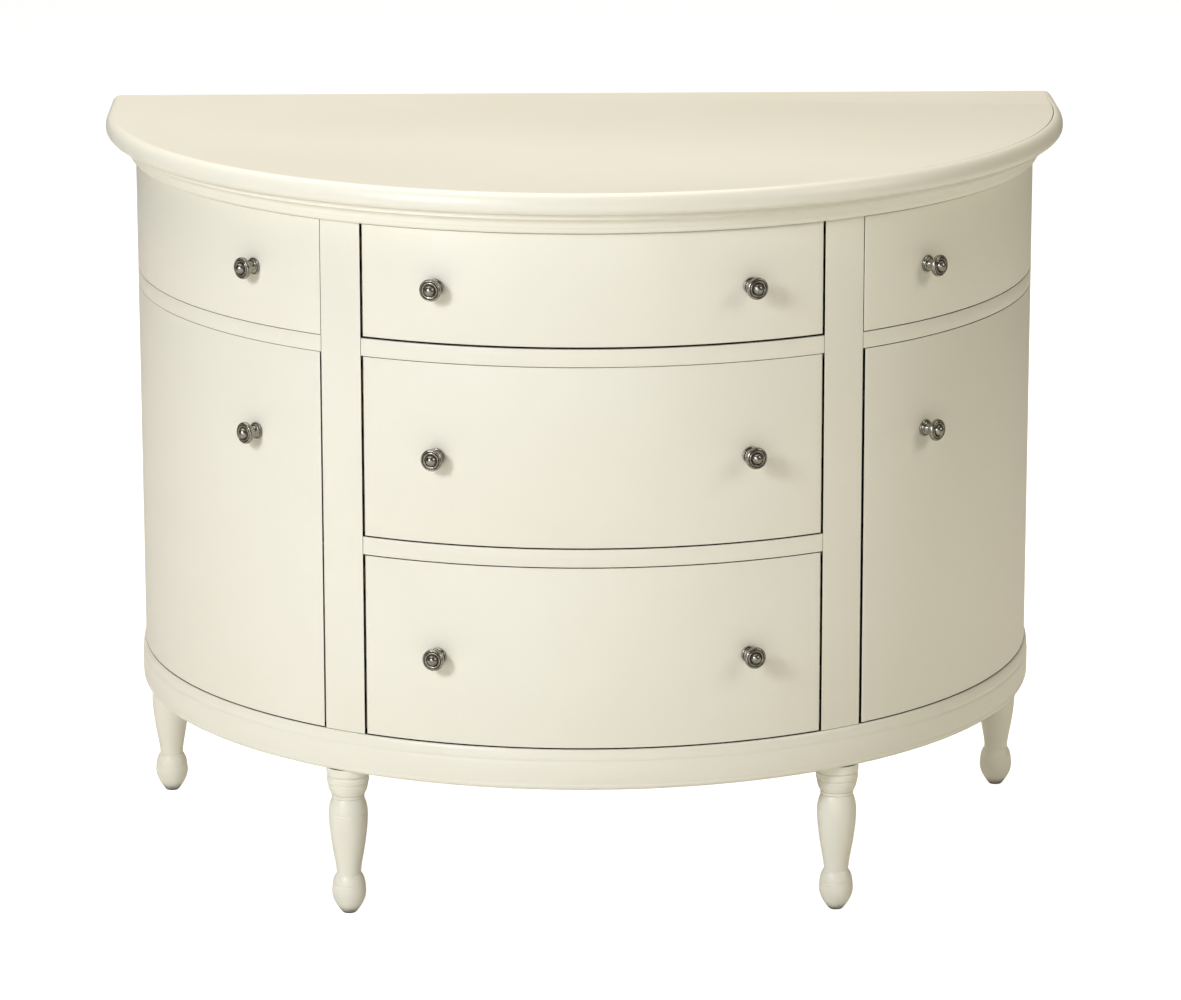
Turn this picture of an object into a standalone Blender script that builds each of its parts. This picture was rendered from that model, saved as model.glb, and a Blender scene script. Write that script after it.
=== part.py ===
"""Half-round painted sideboard with three bowed drawers, two side drawers and two doors.

The plan is a true half circle with short straight returns at the back. X runs along the back,
the front faces -Y and Z is up. The origin lies at the middle of the footprint, on the floor.
Pieces are built on the right (+X) side and turned over for the left one.
"""

import math

import bmesh
import bpy
from mathutils import Matrix, Vector

# Overall plan, metres
BODY_RADIUS = 0.565
RETURN_DEPTH = 0.096
TOP_OVERHANG = 0.037

# Heights of the bands, from the floor up
LEG_HEIGHT = 0.1865
APRON_HEIGHT = 0.0505
LOWER_OPENING = 0.224
RAIL_HEIGHT = 0.0223
MIDDLE_OPENING = 0.220
UPPER_OPENING = 0.1378
CORNICE_HEIGHT = 0.026
TOP_THICKNESS = 0.0262

# Division of the front
BAY_HALF_WIDTH = 0.2747
STILE_WIDTH = 0.0473
STILE_SHORT_SIDE = 0.034
POST_DEPTH = 0.050
POST_WIDTH = 0.040

# Board thicknesses
FRONT_THICKNESS = 0.020
RAIL_THICKNESS = 0.022
APRON_THICKNESS = 0.022
PANEL_THICKNESS = 0.018
DECK_THICKNESS = 0.012
BACK_THICKNESS = 0.009
DRAWER_SIDE_THICKNESS = 0.012
DRAWER_BOTTOM_THICKNESS = 0.006

# Clearances
SEAT_GAP = 0.0003
RUNNER_GAP = 0.0004
SHADOW_GAP = 0.0015
CENTRE_SIDE_GAP = 0.0026
DOOR_SIDE_GAP = 0.0026
SIDE_DRAWER_GAP = 0.0016
DRAWER_GUIDE_GAP = 0.0012
DRAWER_HEADROOM = 0.012
DRAWER_REAR_GAP = 0.012
SHELF_SETBACK = 0.006
OVERRUN = 0.010

# Fronts
EDGE_EASE = 0.0015
ARRIS_ANGLE = math.radians(50)

# Edge moulding of the top: a large round above its hip and a tighter one below
EDGE_WIDTH = 0.012
EDGE_HIP_DROP = 0.0162

# Cornice under the top: a fillet, a cove and a bead
CORNICE_FILLET_OFFSET = 0.0215
CORNICE_FILLET_HEIGHT = 0.0055
CORNICE_STEP = 0.0025
CORNICE_COVE_FOOT = 0.009
CORNICE_COVE_DROP = 0.0125
CORNICE_FOOT_OFFSET = 0.0035
CORNICE_BEAD_STEP = 0.001

# Apron: a quirked ogee above a flat band with a rounded foot
APRON_PROUD = 0.004
APRON_OGEE_HEIGHT = 0.013
APRON_QUIRK = 0.0012
APRON_ROUND = 0.006

# Legs
LEG_INSET = 0.0285
LEG_FROM_STILE_EDGE = 0.0139
LEG_RADIUS = 0.0262
LEG_PROFILE_SHARES = (
    (0.000, 1.000),
    (0.052, 1.000),
    (0.066, 0.930),
    (0.090, 0.980),
    (0.116, 0.920),
    (0.160, 0.870),
    (0.192, 0.760),
    (0.207, 0.710),
    (0.222, 0.750),
    (0.262, 0.860),
    (0.315, 0.915),
    (0.400, 0.885),
    (0.500, 0.805),
    (0.600, 0.685),
    (0.680, 0.595),
    (0.728, 0.570),
    (0.765, 0.655),
    (0.800, 0.745),
    (0.856, 0.800),
    (0.911, 0.705),
    (0.956, 0.505),
    (0.988, 0.360),
    (1.000, 0.330),
)

# Knobs
KNOB_RADIUS = 0.0133
KNOB_LENGTH = 0.0275
KNOB_FROM_BAY_EDGE = 0.0992
KNOB_FROM_STILE_EDGE = 0.1059
DOOR_KNOB_DROP = 0.1115
LOWER_KNOB_DROP = 0.002
KNOB_PROFILE_SHARES = (
    (0.000, 0.700),
    (0.060, 0.720),
    (0.210, 0.420),
    (0.350, 0.310),
    (0.470, 0.420),
    (0.550, 0.820),
    (0.650, 0.990),
    (0.780, 0.960),
    (0.840, 0.640),
    (0.920, 0.480),
    (1.000, 0.000),
)

# Door pivots, let into the rail above and the apron below
PIN_RADIUS = 0.0024
PIN_HOLE_RADIUS = 0.0027
PIN_DEPTH = 0.008
PIN_HOLE_SPARE = 0.0015
PLATE_LENGTH = 0.034
PLATE_WIDTH = 0.011
PLATE_THICKNESS = 0.002

# Magnetic catches on the partitions
CATCH_HEIGHT = 0.014
CATCH_DEPTH = 0.012
CATCH_BELOW_RAIL = 0.060

# Drawer boxes and the side decks' guide strips
SIDE_BOX_OUTER_INSET = 0.053
GROOVE_DEPTH = 0.006
GROOVE_HEIGHT = 0.008
GUIDE_HEIGHT = 0.012

# Facets
BOW_STEPS = 56
LEG_SIDES = 16
KNOB_SIDES = 12
PIN_SIDES = 12
ROUND_STEPS = 4
END_MARGIN_SHARE = 0.3
WELD_SHARE = 0.002

# Places worked out from the sizes above
BACK_Y = (BODY_RADIUS + TOP_OVERHANG + RETURN_DEPTH) / 2
ARC_Y = BACK_Y - RETURN_DEPTH
APRON_TOP = LEG_HEIGHT + APRON_HEIGHT
LOWER_TOP = APRON_TOP + LOWER_OPENING
MIDDLE_BASE = LOWER_TOP + RAIL_HEIGHT
MIDDLE_TOP = MIDDLE_BASE + MIDDLE_OPENING
UPPER_BASE = MIDDLE_TOP + RAIL_HEIGHT
UPPER_TOP = UPPER_BASE + UPPER_OPENING
TOP_UNDERSIDE = UPPER_TOP + CORNICE_HEIGHT
TOP_HEIGHT = TOP_UNDERSIDE + TOP_THICKNESS
STILE_OUTER = BAY_HALF_WIDTH + STILE_WIDTH
STILE_BACK_Y = ARC_Y - math.sqrt(BODY_RADIUS**2 - STILE_OUTER**2) + STILE_SHORT_SIDE
POST_FRONT_Y = BACK_Y - POST_DEPTH
POST_INNER = BODY_RADIUS - POST_WIDTH
BACK_PANEL_FRONT_Y = BACK_Y - BACK_THICKNESS
PARTITION_OUTER = BAY_HALF_WIDTH + PANEL_THICKNESS
PIVOT_X = BODY_RADIUS - FRONT_THICKNESS / 2
PIVOT_Y = POST_FRONT_Y - SHADOW_GAP - FRONT_THICKNESS / 2
BOW_STEP = math.pi / BOW_STEPS
BAY_EDGE_ANGLE = math.asin(BAY_HALF_WIDTH / BODY_RADIUS)
STILE_EDGE_ANGLE = math.asin(STILE_OUTER / BODY_RADIUS)
KNOB_CENTRE_ANGLE = BAY_EDGE_ANGLE - KNOB_FROM_BAY_EDGE / BODY_RADIUS
KNOB_SIDE_ANGLE = STILE_EDGE_ANGLE + KNOB_FROM_STILE_EDGE / BODY_RADIUS
LEG_ANGLE = STILE_EDGE_ANGLE - LEG_FROM_STILE_EDGE / BODY_RADIUS

# Finishes: colour, roughness, metallic
FINISHES = {
    "ivory_paint": ((0.86, 0.83, 0.72, 1.0), 0.38, 0.0),
    "plain_wood": ((0.72, 0.56, 0.38, 1.0), 0.62, 0.0),
    "aged_pewter": ((0.24, 0.23, 0.21, 1.0), 0.42, 0.9),
    "brass": ((0.66, 0.50, 0.22, 1.0), 0.35, 1.0),
    "catch_steel": ((0.45, 0.45, 0.44, 1.0), 0.40, 0.8),
}


def clear_scene():
    """Take away whatever the file opened with."""
    for item in list(bpy.data.objects):
        bpy.data.objects.remove(item, do_unlink=True)


def finish(piece_name, kind):
    """A piece's own material, of one of the named finishes."""
    colour, roughness, metallic = FINISHES[kind]
    material = bpy.data.materials.new(f"{piece_name}_{kind}")
    material.use_nodes = True
    shader = material.node_tree.nodes["Principled BSDF"]
    shader.inputs["Base Color"].default_value = colour
    shader.inputs["Roughness"].default_value = roughness
    shader.inputs["Metallic"].default_value = metallic
    material.diffuse_color = colour
    return material


def add_piece(name, bm, kind, smooth_angle=None, origin=(0, 0, 0)):
    """Turn a finished bmesh into a named object, with its origin at the given place."""
    bmesh.ops.recalc_face_normals(bm, faces=bm.faces)
    bmesh.ops.translate(bm, verts=bm.verts, vec=-Vector(origin))
    mesh = bpy.data.meshes.new(name)
    bm.to_mesh(mesh)
    bm.free()
    if smooth_angle is not None:
        mesh.shade_smooth()
        mesh.set_sharp_from_angle(angle=smooth_angle)
    piece = bpy.data.objects.new(name, mesh)
    piece.location = origin
    bpy.context.collection.objects.link(piece)
    if kind is not None:
        mesh.materials.append(finish(name, kind))
    return piece


def add_cutter(name, bm):
    """A guide solid that only cuts others."""
    cutter = add_piece(name, bm, None)
    cutter.hide_render = True
    cutter.display_type = "WIRE"
    return cutter


def cut(piece, cutter):
    """Take the cutter's solid out of the piece."""
    modifier = piece.modifiers.new(cutter.name, "BOOLEAN")
    modifier.operation = "DIFFERENCE"
    modifier.solver = "EXACT"
    modifier.object = cutter


def bow_point(angle, offset):
    """Plan point on the bow, turned from straight ahead and moved outwards by the offset."""
    radius = BODY_RADIUS + offset
    return (radius * math.sin(angle), ARC_Y - radius * math.cos(angle))


def angle_at(x, offset):
    """The angle at which the bow, moved outwards by the offset, reaches a given X."""
    return math.asin(x / (BODY_RADIUS + offset))


def bow_line(offset, start, end):
    """Plan points along the bow between two angles, on facets that all pieces share."""
    low, high = min(start, end), max(start, end)
    first = math.ceil(low / BOW_STEP + END_MARGIN_SHARE)
    last = math.floor(high / BOW_STEP - END_MARGIN_SHARE)
    angles = [low] + [step * BOW_STEP for step in range(first, last + 1)] + [high]
    if start > end:
        angles.reverse()
    return [bow_point(angle, offset) for angle in angles]


def side_line(offset, start_x, end_y):
    """Plan points from the stile side round the bow and back along the right return."""
    line = bow_line(offset, angle_at(start_x, offset), math.pi / 2)
    return line + [(BODY_RADIUS + offset, end_y)]


def prism(outline, low, high):
    """A solid with the plan outline, from one height to another."""
    bm = bmesh.new()
    corners = [bm.verts.new((x, y, low)) for x, y in outline]
    floor = bm.faces.new(corners)
    raised = bmesh.ops.extrude_face_region(bm, geom=[floor])["geom"]
    top = [item for item in raised if isinstance(item, bmesh.types.BMVert)]
    bmesh.ops.translate(bm, verts=top, vec=(0, 0, high - low))
    return bm


def box(low, high):
    """A rectangular solid between two corners."""
    outline = [(low[0], low[1]), (high[0], low[1]), (high[0], high[1]), (low[0], high[1])]
    return prism(outline, low[2], high[2])


def turned(profile, sides, place, direction=(0, 0, 1)):
    """A turned solid: distance along the axis and radius, from the seat outwards."""
    bm = bmesh.new()
    rim = [bm.verts.new((radius, 0, along)) for along, radius in profile]
    edges = [bm.edges.new(pair) for pair in zip(rim, rim[1:])]
    bmesh.ops.spin(bm, geom=rim + edges, cent=(0, 0, 0), axis=(0, 0, 1), angle=2 * math.pi,
                   steps=sides, use_merge=True, use_duplicate=False)
    merge = min(KNOB_RADIUS, LEG_RADIUS) * WELD_SHARE
    bmesh.ops.remove_doubles(bm, verts=bm.verts, dist=merge)
    bmesh.ops.holes_fill(bm, edges=bm.edges, sides=0)
    turn = Vector((0, 0, 1)).rotation_difference(Vector(direction)).to_matrix().to_4x4()
    bmesh.ops.transform(bm, matrix=Matrix.Translation(place) @ turn, verts=bm.verts)
    return bm


def arc_profile(centre, half_width, half_height, start_degrees, end_degrees):
    """Points on an elliptical arc of a moulding's section."""
    points = []
    for step in range(ROUND_STEPS + 1):
        angle = math.radians(start_degrees + (end_degrees - start_degrees) * step / ROUND_STEPS)
        across = centre[0] + half_width * math.cos(angle)
        up = centre[1] + half_height * math.sin(angle)
        points.append((across, up))
    return points


def moulding(section):
    """Sweep a section, offset outwards and height, round the bow and back along both returns."""
    bm = bmesh.new()
    loop = [bm.verts.new((BODY_RADIUS + offset, BACK_Y, height)) for offset, height in section]
    edges = [bm.edges.new(pair) for pair in zip(loop, loop[1:] + loop[:1])]

    def run_straight(moving, distance):
        raised = bmesh.ops.extrude_edge_only(bm, edges=moving)["geom"]
        verts = [item for item in raised if isinstance(item, bmesh.types.BMVert)]
        bmesh.ops.translate(bm, verts=verts, vec=(0, distance, 0))
        return [item for item in raised if isinstance(item, bmesh.types.BMEdge)]

    edges = run_straight(edges, -RETURN_DEPTH)
    verts = list({vert for edge in edges for vert in edge.verts})
    swept = bmesh.ops.spin(bm, geom=verts + edges, cent=(0, ARC_Y, 0), axis=(0, 0, 1),
                           angle=-math.pi, steps=BOW_STEPS, use_merge=False, use_duplicate=False)
    edges = [item for item in swept["geom_last"] if isinstance(item, bmesh.types.BMEdge)]
    run_straight(edges, RETURN_DEPTH)
    bmesh.ops.holes_fill(bm, edges=bm.edges, sides=0)
    return bm


def mirror_left(bm):
    """Turn a right-hand solid over to the left side."""
    bmesh.ops.scale(bm, vec=(-1, 1, 1), verts=bm.verts)
    return bm


def handed(bm, side):
    """The solid itself for the right side, turned over for the left."""
    return bm if side == "right" else mirror_left(bm)


def ease_front(bm):
    """Take the arris off the outer face of a bowed front."""
    limit = BODY_RADIUS - EDGE_EASE / 2
    edges = []
    for edge in bm.edges:
        outside = True
        for vert in edge.verts:
            ahead = min(vert.co.y - ARC_Y, 0)
            outside = outside and math.hypot(vert.co.x, ahead) > limit
        if outside and edge.calc_face_angle(0) > ARRIS_ANGLE:
            edges.append(edge)
    bmesh.ops.bevel(bm, geom=edges, offset=EDGE_EASE, offset_type="OFFSET", segments=1,
                    profile=0.5, affect="EDGES", clamp_overlap=True, material=-1)
    return bm


def build_top():
    """The half-round top panel, its applied edge moulding and the cornice under them."""
    joint = TOP_OVERHANG - EDGE_WIDTH
    inner = joint - SEAT_GAP
    outline = [(-BODY_RADIUS - inner, BACK_Y)]
    outline += bow_line(inner, -math.pi / 2, math.pi / 2)
    outline += [(BODY_RADIUS + inner, BACK_Y)]
    add_piece("top_panel", prism(outline, TOP_UNDERSIDE, TOP_HEIGHT), "ivory_paint")

    hip = TOP_HEIGHT - EDGE_HIP_DROP
    section = arc_profile((joint, hip), EDGE_WIDTH, EDGE_HIP_DROP, 90, 0)
    section += arc_profile((joint, hip), EDGE_WIDTH, hip - TOP_UNDERSIDE, 0, -90)[1:]
    add_piece("top_edge_moulding", moulding(section), "ivory_paint", math.radians(40))

    head = TOP_UNDERSIDE - SEAT_GAP
    fillet_foot = TOP_UNDERSIDE - CORNICE_FILLET_HEIGHT
    cove_head = CORNICE_FILLET_OFFSET - CORNICE_STEP
    cove_foot = fillet_foot - CORNICE_COVE_DROP
    bead = CORNICE_COVE_FOOT - CORNICE_BEAD_STEP
    section = [(-POST_WIDTH, head), (CORNICE_FILLET_OFFSET, head)]
    section += [(CORNICE_FILLET_OFFSET, fillet_foot), (cove_head, fillet_foot)]
    section += arc_profile((cove_head, cove_foot), cove_head - CORNICE_COVE_FOOT,
                           fillet_foot - cove_foot, 90, 180)[1:]
    section += arc_profile((CORNICE_FOOT_OFFSET, cove_foot), bead - CORNICE_FOOT_OFFSET,
                           cove_foot - UPPER_TOP, 0, -90)
    section += [(-POST_WIDTH, UPPER_TOP)]
    add_piece("cornice", moulding(section), "ivory_paint", math.radians(40))


def build_apron():
    """The moulded apron that wraps the foot of the body, with a pocket for each lower pivot."""
    quirk_height = APRON_TOP - APRON_OGEE_HEIGHT
    section = [(-APRON_THICKNESS, APRON_TOP), (0, APRON_TOP)]
    section += arc_profile((0, quirk_height), APRON_PROUD - APRON_QUIRK,
                           APRON_OGEE_HEIGHT, 90, 0)[1:]
    section += [(APRON_PROUD, quirk_height - APRON_QUIRK)]
    section += arc_profile((APRON_PROUD - APRON_ROUND, LEG_HEIGHT + APRON_ROUND),
                           APRON_ROUND, APRON_ROUND, 0, -90)
    section += [(-APRON_THICKNESS, LEG_HEIGHT)]
    apron = add_piece("apron", moulding(section), "ivory_paint", math.radians(40))
    for side in ("left", "right"):
        pocket = handed(plate_pocket(APRON_TOP, -1), side)
        cut(apron, add_cutter(f"apron_pocket_cutter_{side}", pocket))


def plate_outline(margin):
    """Plan of a pivot plate: it runs forward from the pin along the door's edge."""
    half = PLATE_WIDTH / 2 + margin
    inner, outer = PIVOT_X - half, PIVOT_X + half
    rear = PIVOT_Y + half
    front = rear - PLATE_LENGTH - 2 * margin
    return [(inner, front), (outer, front), (outer, rear), (inner, rear)]


def plate_pocket(face, into):
    """The pocket for a pivot plate, let into a face upwards (1) or downwards (-1)."""
    far = face + into * (PLATE_THICKNESS + SEAT_GAP)
    near = face - into * OVERRUN
    return prism(plate_outline(SEAT_GAP), min(far, near), max(far, near))


def pivot(face, into):
    """A pivot plate with its pin, which points out of the face."""
    plate_far = face + into * PLATE_THICKNESS
    bm = prism(plate_outline(0), min(face, plate_far), max(face, plate_far))
    tip = face - into * (SHADOW_GAP + PIN_DEPTH)
    seat = face + into * PLATE_THICKNESS / 2
    pin = turned([(0, 0), (0, PIN_RADIUS), (abs(tip - seat), PIN_RADIUS), (abs(tip - seat), 0)],
                 PIN_SIDES, (PIVOT_X, PIVOT_Y, seat), (0, 0, -into))
    return bm, pin


def build_pivots():
    """Upper and lower pivot of each door, brass plate and pin in one piece."""
    for side in ("left", "right"):
        for level, face, into in (("upper", MIDDLE_TOP, 1), ("lower", APRON_TOP, -1)):
            plate, pin = pivot(face, into)
            name = f"door_pivot_{level}_{side}"
            joined = add_piece(name, handed(plate, side), "brass")
            tool = add_cutter(f"{name}_pin", handed(pin, side))
            modifier = joined.modifiers.new("pin", "BOOLEAN")
            modifier.operation = "UNION"
            modifier.solver = "EXACT"
            modifier.object = tool


def housing_cutter():
    """The room that the apron takes out of the foot of a stile or a rear post."""
    inner = -APRON_THICKNESS - SEAT_GAP
    outline = bow_line(inner, 0, math.pi / 2) + [(BODY_RADIUS + inner, BACK_Y + OVERRUN)]
    outer = bow_line(OVERRUN, 0, math.pi / 2) + [(BODY_RADIUS + OVERRUN, BACK_Y + OVERRUN)]
    return prism(outline + outer[::-1], LEG_HEIGHT - OVERRUN, APRON_TOP + SEAT_GAP)


def build_posts():
    """The two front stiles and the two rear posts; each runs down behind the apron to its leg."""
    foot = LEG_HEIGHT + SEAT_GAP
    head = UPPER_TOP - SEAT_GAP
    stile = bow_line(0, angle_at(BAY_HALF_WIDTH, 0), angle_at(STILE_OUTER, 0))
    stile += [(STILE_OUTER, STILE_BACK_Y), (BAY_HALF_WIDTH, STILE_BACK_Y)]
    post = [(POST_INNER, POST_FRONT_Y), (BODY_RADIUS, POST_FRONT_Y)]
    post += [(BODY_RADIUS, BACK_Y), (POST_INNER, BACK_Y)]
    for side in ("left", "right"):
        cutter = add_cutter(f"apron_housing_cutter_{side}", handed(housing_cutter(), side))
        for name, outline in (("stile", stile), ("rear_post", post)):
            upright = handed(prism(outline, foot, head), side)
            cut(add_piece(f"{name}_{side}", upright, "ivory_paint"), cutter)


def side_floor_outline(bow_offset):
    """Right-hand plan of a board behind the doors, notched round the stile and the rear post."""
    inner = PARTITION_OUTER + SEAT_GAP
    behind_stile = STILE_BACK_Y + SEAT_GAP
    beside_stile = STILE_OUTER + SEAT_GAP
    before_post = POST_FRONT_Y - SEAT_GAP
    rear = BACK_PANEL_FRONT_Y - SEAT_GAP
    outline = [(inner, rear), (inner, behind_stile), (beside_stile, behind_stile)]
    outline += side_line(bow_offset, beside_stile, before_post)
    outline += [(POST_INNER - SEAT_GAP, before_post), (POST_INNER - SEAT_GAP, rear)]
    return outline


def build_carcase():
    """Bottom board, partitions and back panel."""
    inside_apron = -APRON_THICKNESS - SEAT_GAP
    beside_bay = BAY_HALF_WIDTH - SEAT_GAP
    rear = BACK_PANEL_FRONT_Y - SEAT_GAP
    behind_stile = STILE_BACK_Y + SEAT_GAP
    right = [(beside_bay, behind_stile), (STILE_OUTER + SEAT_GAP, behind_stile)]
    right += side_line(inside_apron, STILE_OUTER + SEAT_GAP, POST_FRONT_Y - SEAT_GAP)
    right += [(POST_INNER - SEAT_GAP, POST_FRONT_Y - SEAT_GAP), (POST_INNER - SEAT_GAP, rear)]
    turn = angle_at(beside_bay, inside_apron)
    left = [(-x, y) for x, y in reversed(right)]
    outline = left + bow_line(inside_apron, -turn, turn) + right
    board = prism(outline, APRON_TOP - PANEL_THICKNESS, APRON_TOP)
    add_piece("bottom_board", board, "ivory_paint")

    half = POST_INNER - SEAT_GAP
    back = box((-half, BACK_PANEL_FRONT_Y, APRON_TOP - PANEL_THICKNESS),
               (half, BACK_Y, TOP_UNDERSIDE - SEAT_GAP))
    add_piece("back_panel", back, "ivory_paint")

    for side in ("left", "right"):
        panel = box((BAY_HALF_WIDTH, behind_stile, APRON_TOP + SEAT_GAP),
                    (PARTITION_OUTER, rear, TOP_UNDERSIDE - SEAT_GAP))
        add_piece(f"partition_{side}", handed(panel, side), "ivory_paint")


def build_centre_rails():
    """The two bowed rails between the centre drawers, with a dust board behind each."""
    half = BAY_HALF_WIDTH - SEAT_GAP
    for level, base in (("lower", LOWER_TOP), ("upper", MIDDLE_TOP)):
        top = base + RAIL_HEIGHT
        outer_turn = angle_at(half, 0)
        inner_turn = angle_at(half, -RAIL_THICKNESS)
        outline = bow_line(0, -outer_turn, outer_turn)
        outline += bow_line(-RAIL_THICKNESS, inner_turn, -inner_turn)
        add_piece(f"centre_rail_{level}", prism(outline, base, top), "ivory_paint")
        inside = -RAIL_THICKNESS - SEAT_GAP
        turn = angle_at(half, inside)
        rear = BACK_PANEL_FRONT_Y - SEAT_GAP
        board = bow_line(inside, -turn, turn) + [(half, rear), (-half, rear)]
        add_piece(f"dust_board_{level}", prism(board, top - DECK_THICKNESS, top), "plain_wood")


def build_side_floors():
    """Side rail, deck with its guide strip, and the shelf behind each door."""
    for side in ("left", "right"):
        before_post = POST_FRONT_Y - SEAT_GAP
        beside_stile = STILE_OUTER + SEAT_GAP
        outline = side_line(0, beside_stile, before_post)
        outline += side_line(-RAIL_THICKNESS, beside_stile, before_post)[::-1]
        bar = handed(prism(outline, MIDDLE_TOP, UPPER_BASE), side)
        rail = add_piece(f"side_rail_{side}", bar, "ivory_paint")
        pocket = handed(plate_pocket(MIDDLE_TOP, 1), side)
        cut(rail, add_cutter(f"rail_pocket_cutter_{side}", pocket))

        behind_rail = side_floor_outline(-RAIL_THICKNESS - SEAT_GAP)
        deck = handed(prism(behind_rail, UPPER_BASE - DECK_THICKNESS, UPPER_BASE), side)
        deck_piece = add_piece(f"side_deck_{side}", deck, "plain_wood")
        strip = box((PARTITION_OUTER + SEAT_GAP, STILE_BACK_Y + SEAT_GAP, UPPER_BASE - DECK_THICKNESS / 2),
                    (STILE_OUTER - SEAT_GAP, BACK_PANEL_FRONT_Y - SEAT_GAP, UPPER_BASE + GUIDE_HEIGHT))
        modifier = deck_piece.modifiers.new("guide_strip", "BOOLEAN")
        modifier.operation = "UNION"
        modifier.solver = "EXACT"
        modifier.object = add_cutter(f"guide_strip_{side}", handed(strip, side))

        low = (APRON_TOP + MIDDLE_TOP - PANEL_THICKNESS) / 2
        behind_door = side_floor_outline(-FRONT_THICKNESS - SHELF_SETBACK)
        shelf = prism(behind_door, low, low + PANEL_THICKNESS)
        add_piece(f"shelf_{side}", handed(shelf, side), "ivory_paint")


def build_legs():
    """Four turned legs under the apron, at the feet of the stiles and rear posts."""
    top = LEG_HEIGHT - SEAT_GAP
    profile = [(0, 0)]
    profile += [(share * top, radius * LEG_RADIUS) for share, radius in LEG_PROFILE_SHARES]
    profile += [(top, 0)]
    inset = APRON_PROUD - LEG_INSET
    front = bow_point(LEG_ANGLE, inset)
    rear = (BODY_RADIUS + inset, BACK_Y - LEG_INSET)
    for place, (x, y) in (("front", front), ("rear", rear)):
        for side, sign in (("left", -1), ("right", 1)):
            leg = turned(profile, LEG_SIDES, (sign * x, y, top), (0, 0, -1))
            add_piece(f"leg_{place}_{side}", leg, "ivory_paint", math.radians(35))


def add_knob(name, angle, height, origin):
    """A turned knob on the bow at an angle, square to the surface."""
    profile = [(0, 0)]
    profile += [(share * KNOB_LENGTH, radius * KNOB_RADIUS) for share, radius in KNOB_PROFILE_SHARES]
    x, y = bow_point(angle, SEAT_GAP)
    outwards = (math.sin(angle), -math.cos(angle), 0)
    add_piece(name, turned(profile, KNOB_SIDES, (x, y, height), outwards), "aged_pewter",
              math.radians(50), origin)


def box_outline(inner_x, outer_x, rear, margin):
    """Plan of a drawer's inside, grown by a margin, with its front end on the bow."""
    inside = -FRONT_THICKNESS - SEAT_GAP + margin
    low, high = inner_x - margin, outer_x + margin
    front = bow_line(inside, angle_at(low, inside), angle_at(high, inside))
    return front + [(high, rear + margin), (low, rear + margin)]


def drawer_frame(inner_x, outer_x, rear):
    """Plan of the drawer's two sides and back, as one bent strip."""
    inside = -FRONT_THICKNESS - SEAT_GAP
    board = DRAWER_SIDE_THICKNESS
    outline = []
    for x in (inner_x - board, inner_x):
        outline.append(bow_point(angle_at(x, inside), inside))
    outline += [(inner_x, rear), (outer_x, rear)]
    for x in (outer_x, outer_x + board):
        outline.append(bow_point(angle_at(x, inside), inside))
    outline += [(outer_x + board, rear + board), (inner_x - board, rear + board)]
    return outline


def build_drawer(name, front_outline, clear_x, rear, band, origin, side="right"):
    """A drawer: bowed front, dovetailed frame and a bottom held in grooves all round."""
    low, high = band
    front = ease_front(prism(front_outline, low + SHADOW_GAP, high - SHADOW_GAP))
    front_piece = add_piece(f"{name}_front", handed(front, side), "ivory_paint", math.radians(30), origin)

    frame_low = low + RUNNER_GAP
    frame = prism(drawer_frame(clear_x[0], clear_x[1], rear), frame_low, high - DRAWER_HEADROOM)
    frame_piece = add_piece(f"{name}_frame", handed(frame, side), "plain_wood", origin=origin)

    seat = frame_low + GROOVE_HEIGHT
    top = seat + DRAWER_BOTTOM_THICKNESS
    panel = prism(box_outline(clear_x[0], clear_x[1], rear, GROOVE_DEPTH - SEAT_GAP), seat, top)
    add_piece(f"{name}_bottom", handed(panel, side), "plain_wood", origin=origin)
    room = box_outline(clear_x[0], clear_x[1], rear, GROOVE_DEPTH)
    groove = handed(prism(room, seat - SEAT_GAP, top + SEAT_GAP), side)
    cutter = add_cutter(f"{name}_groove_cutter", groove)
    cut(front_piece, cutter)
    cut(frame_piece, cutter)


def build_centre_drawers():
    """Three bowed drawers, one above the other, two knobs on each."""
    half_front = BAY_HALF_WIDTH - CENTRE_SIDE_GAP
    outer_turn = angle_at(half_front, 0)
    inner_turn = angle_at(half_front, -FRONT_THICKNESS)
    outline = bow_line(0, -outer_turn, outer_turn)
    outline += bow_line(-FRONT_THICKNESS, inner_turn, -inner_turn)
    half_clear = BAY_HALF_WIDTH - DRAWER_GUIDE_GAP - DRAWER_SIDE_THICKNESS
    rear = BACK_PANEL_FRONT_Y - DRAWER_REAR_GAP - DRAWER_SIDE_THICKNESS
    bands = (
        ("drawer_upper", (UPPER_BASE, UPPER_TOP), 0),
        ("drawer_middle", (MIDDLE_BASE, MIDDLE_TOP), 0),
        ("drawer_lower", (APRON_TOP, LOWER_TOP), LOWER_KNOB_DROP),
    )
    for name, band, drop in bands:
        height = (band[0] + band[1]) / 2 - drop
        origin = (0, ARC_Y - BODY_RADIUS, height)
        build_drawer(name, outline, (-half_clear, half_clear), rear, band, origin)
        for side, sign in (("left", -1), ("right", 1)):
            add_knob(f"{name}_knob_{side}", sign * KNOB_CENTRE_ANGLE, height, origin)


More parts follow.
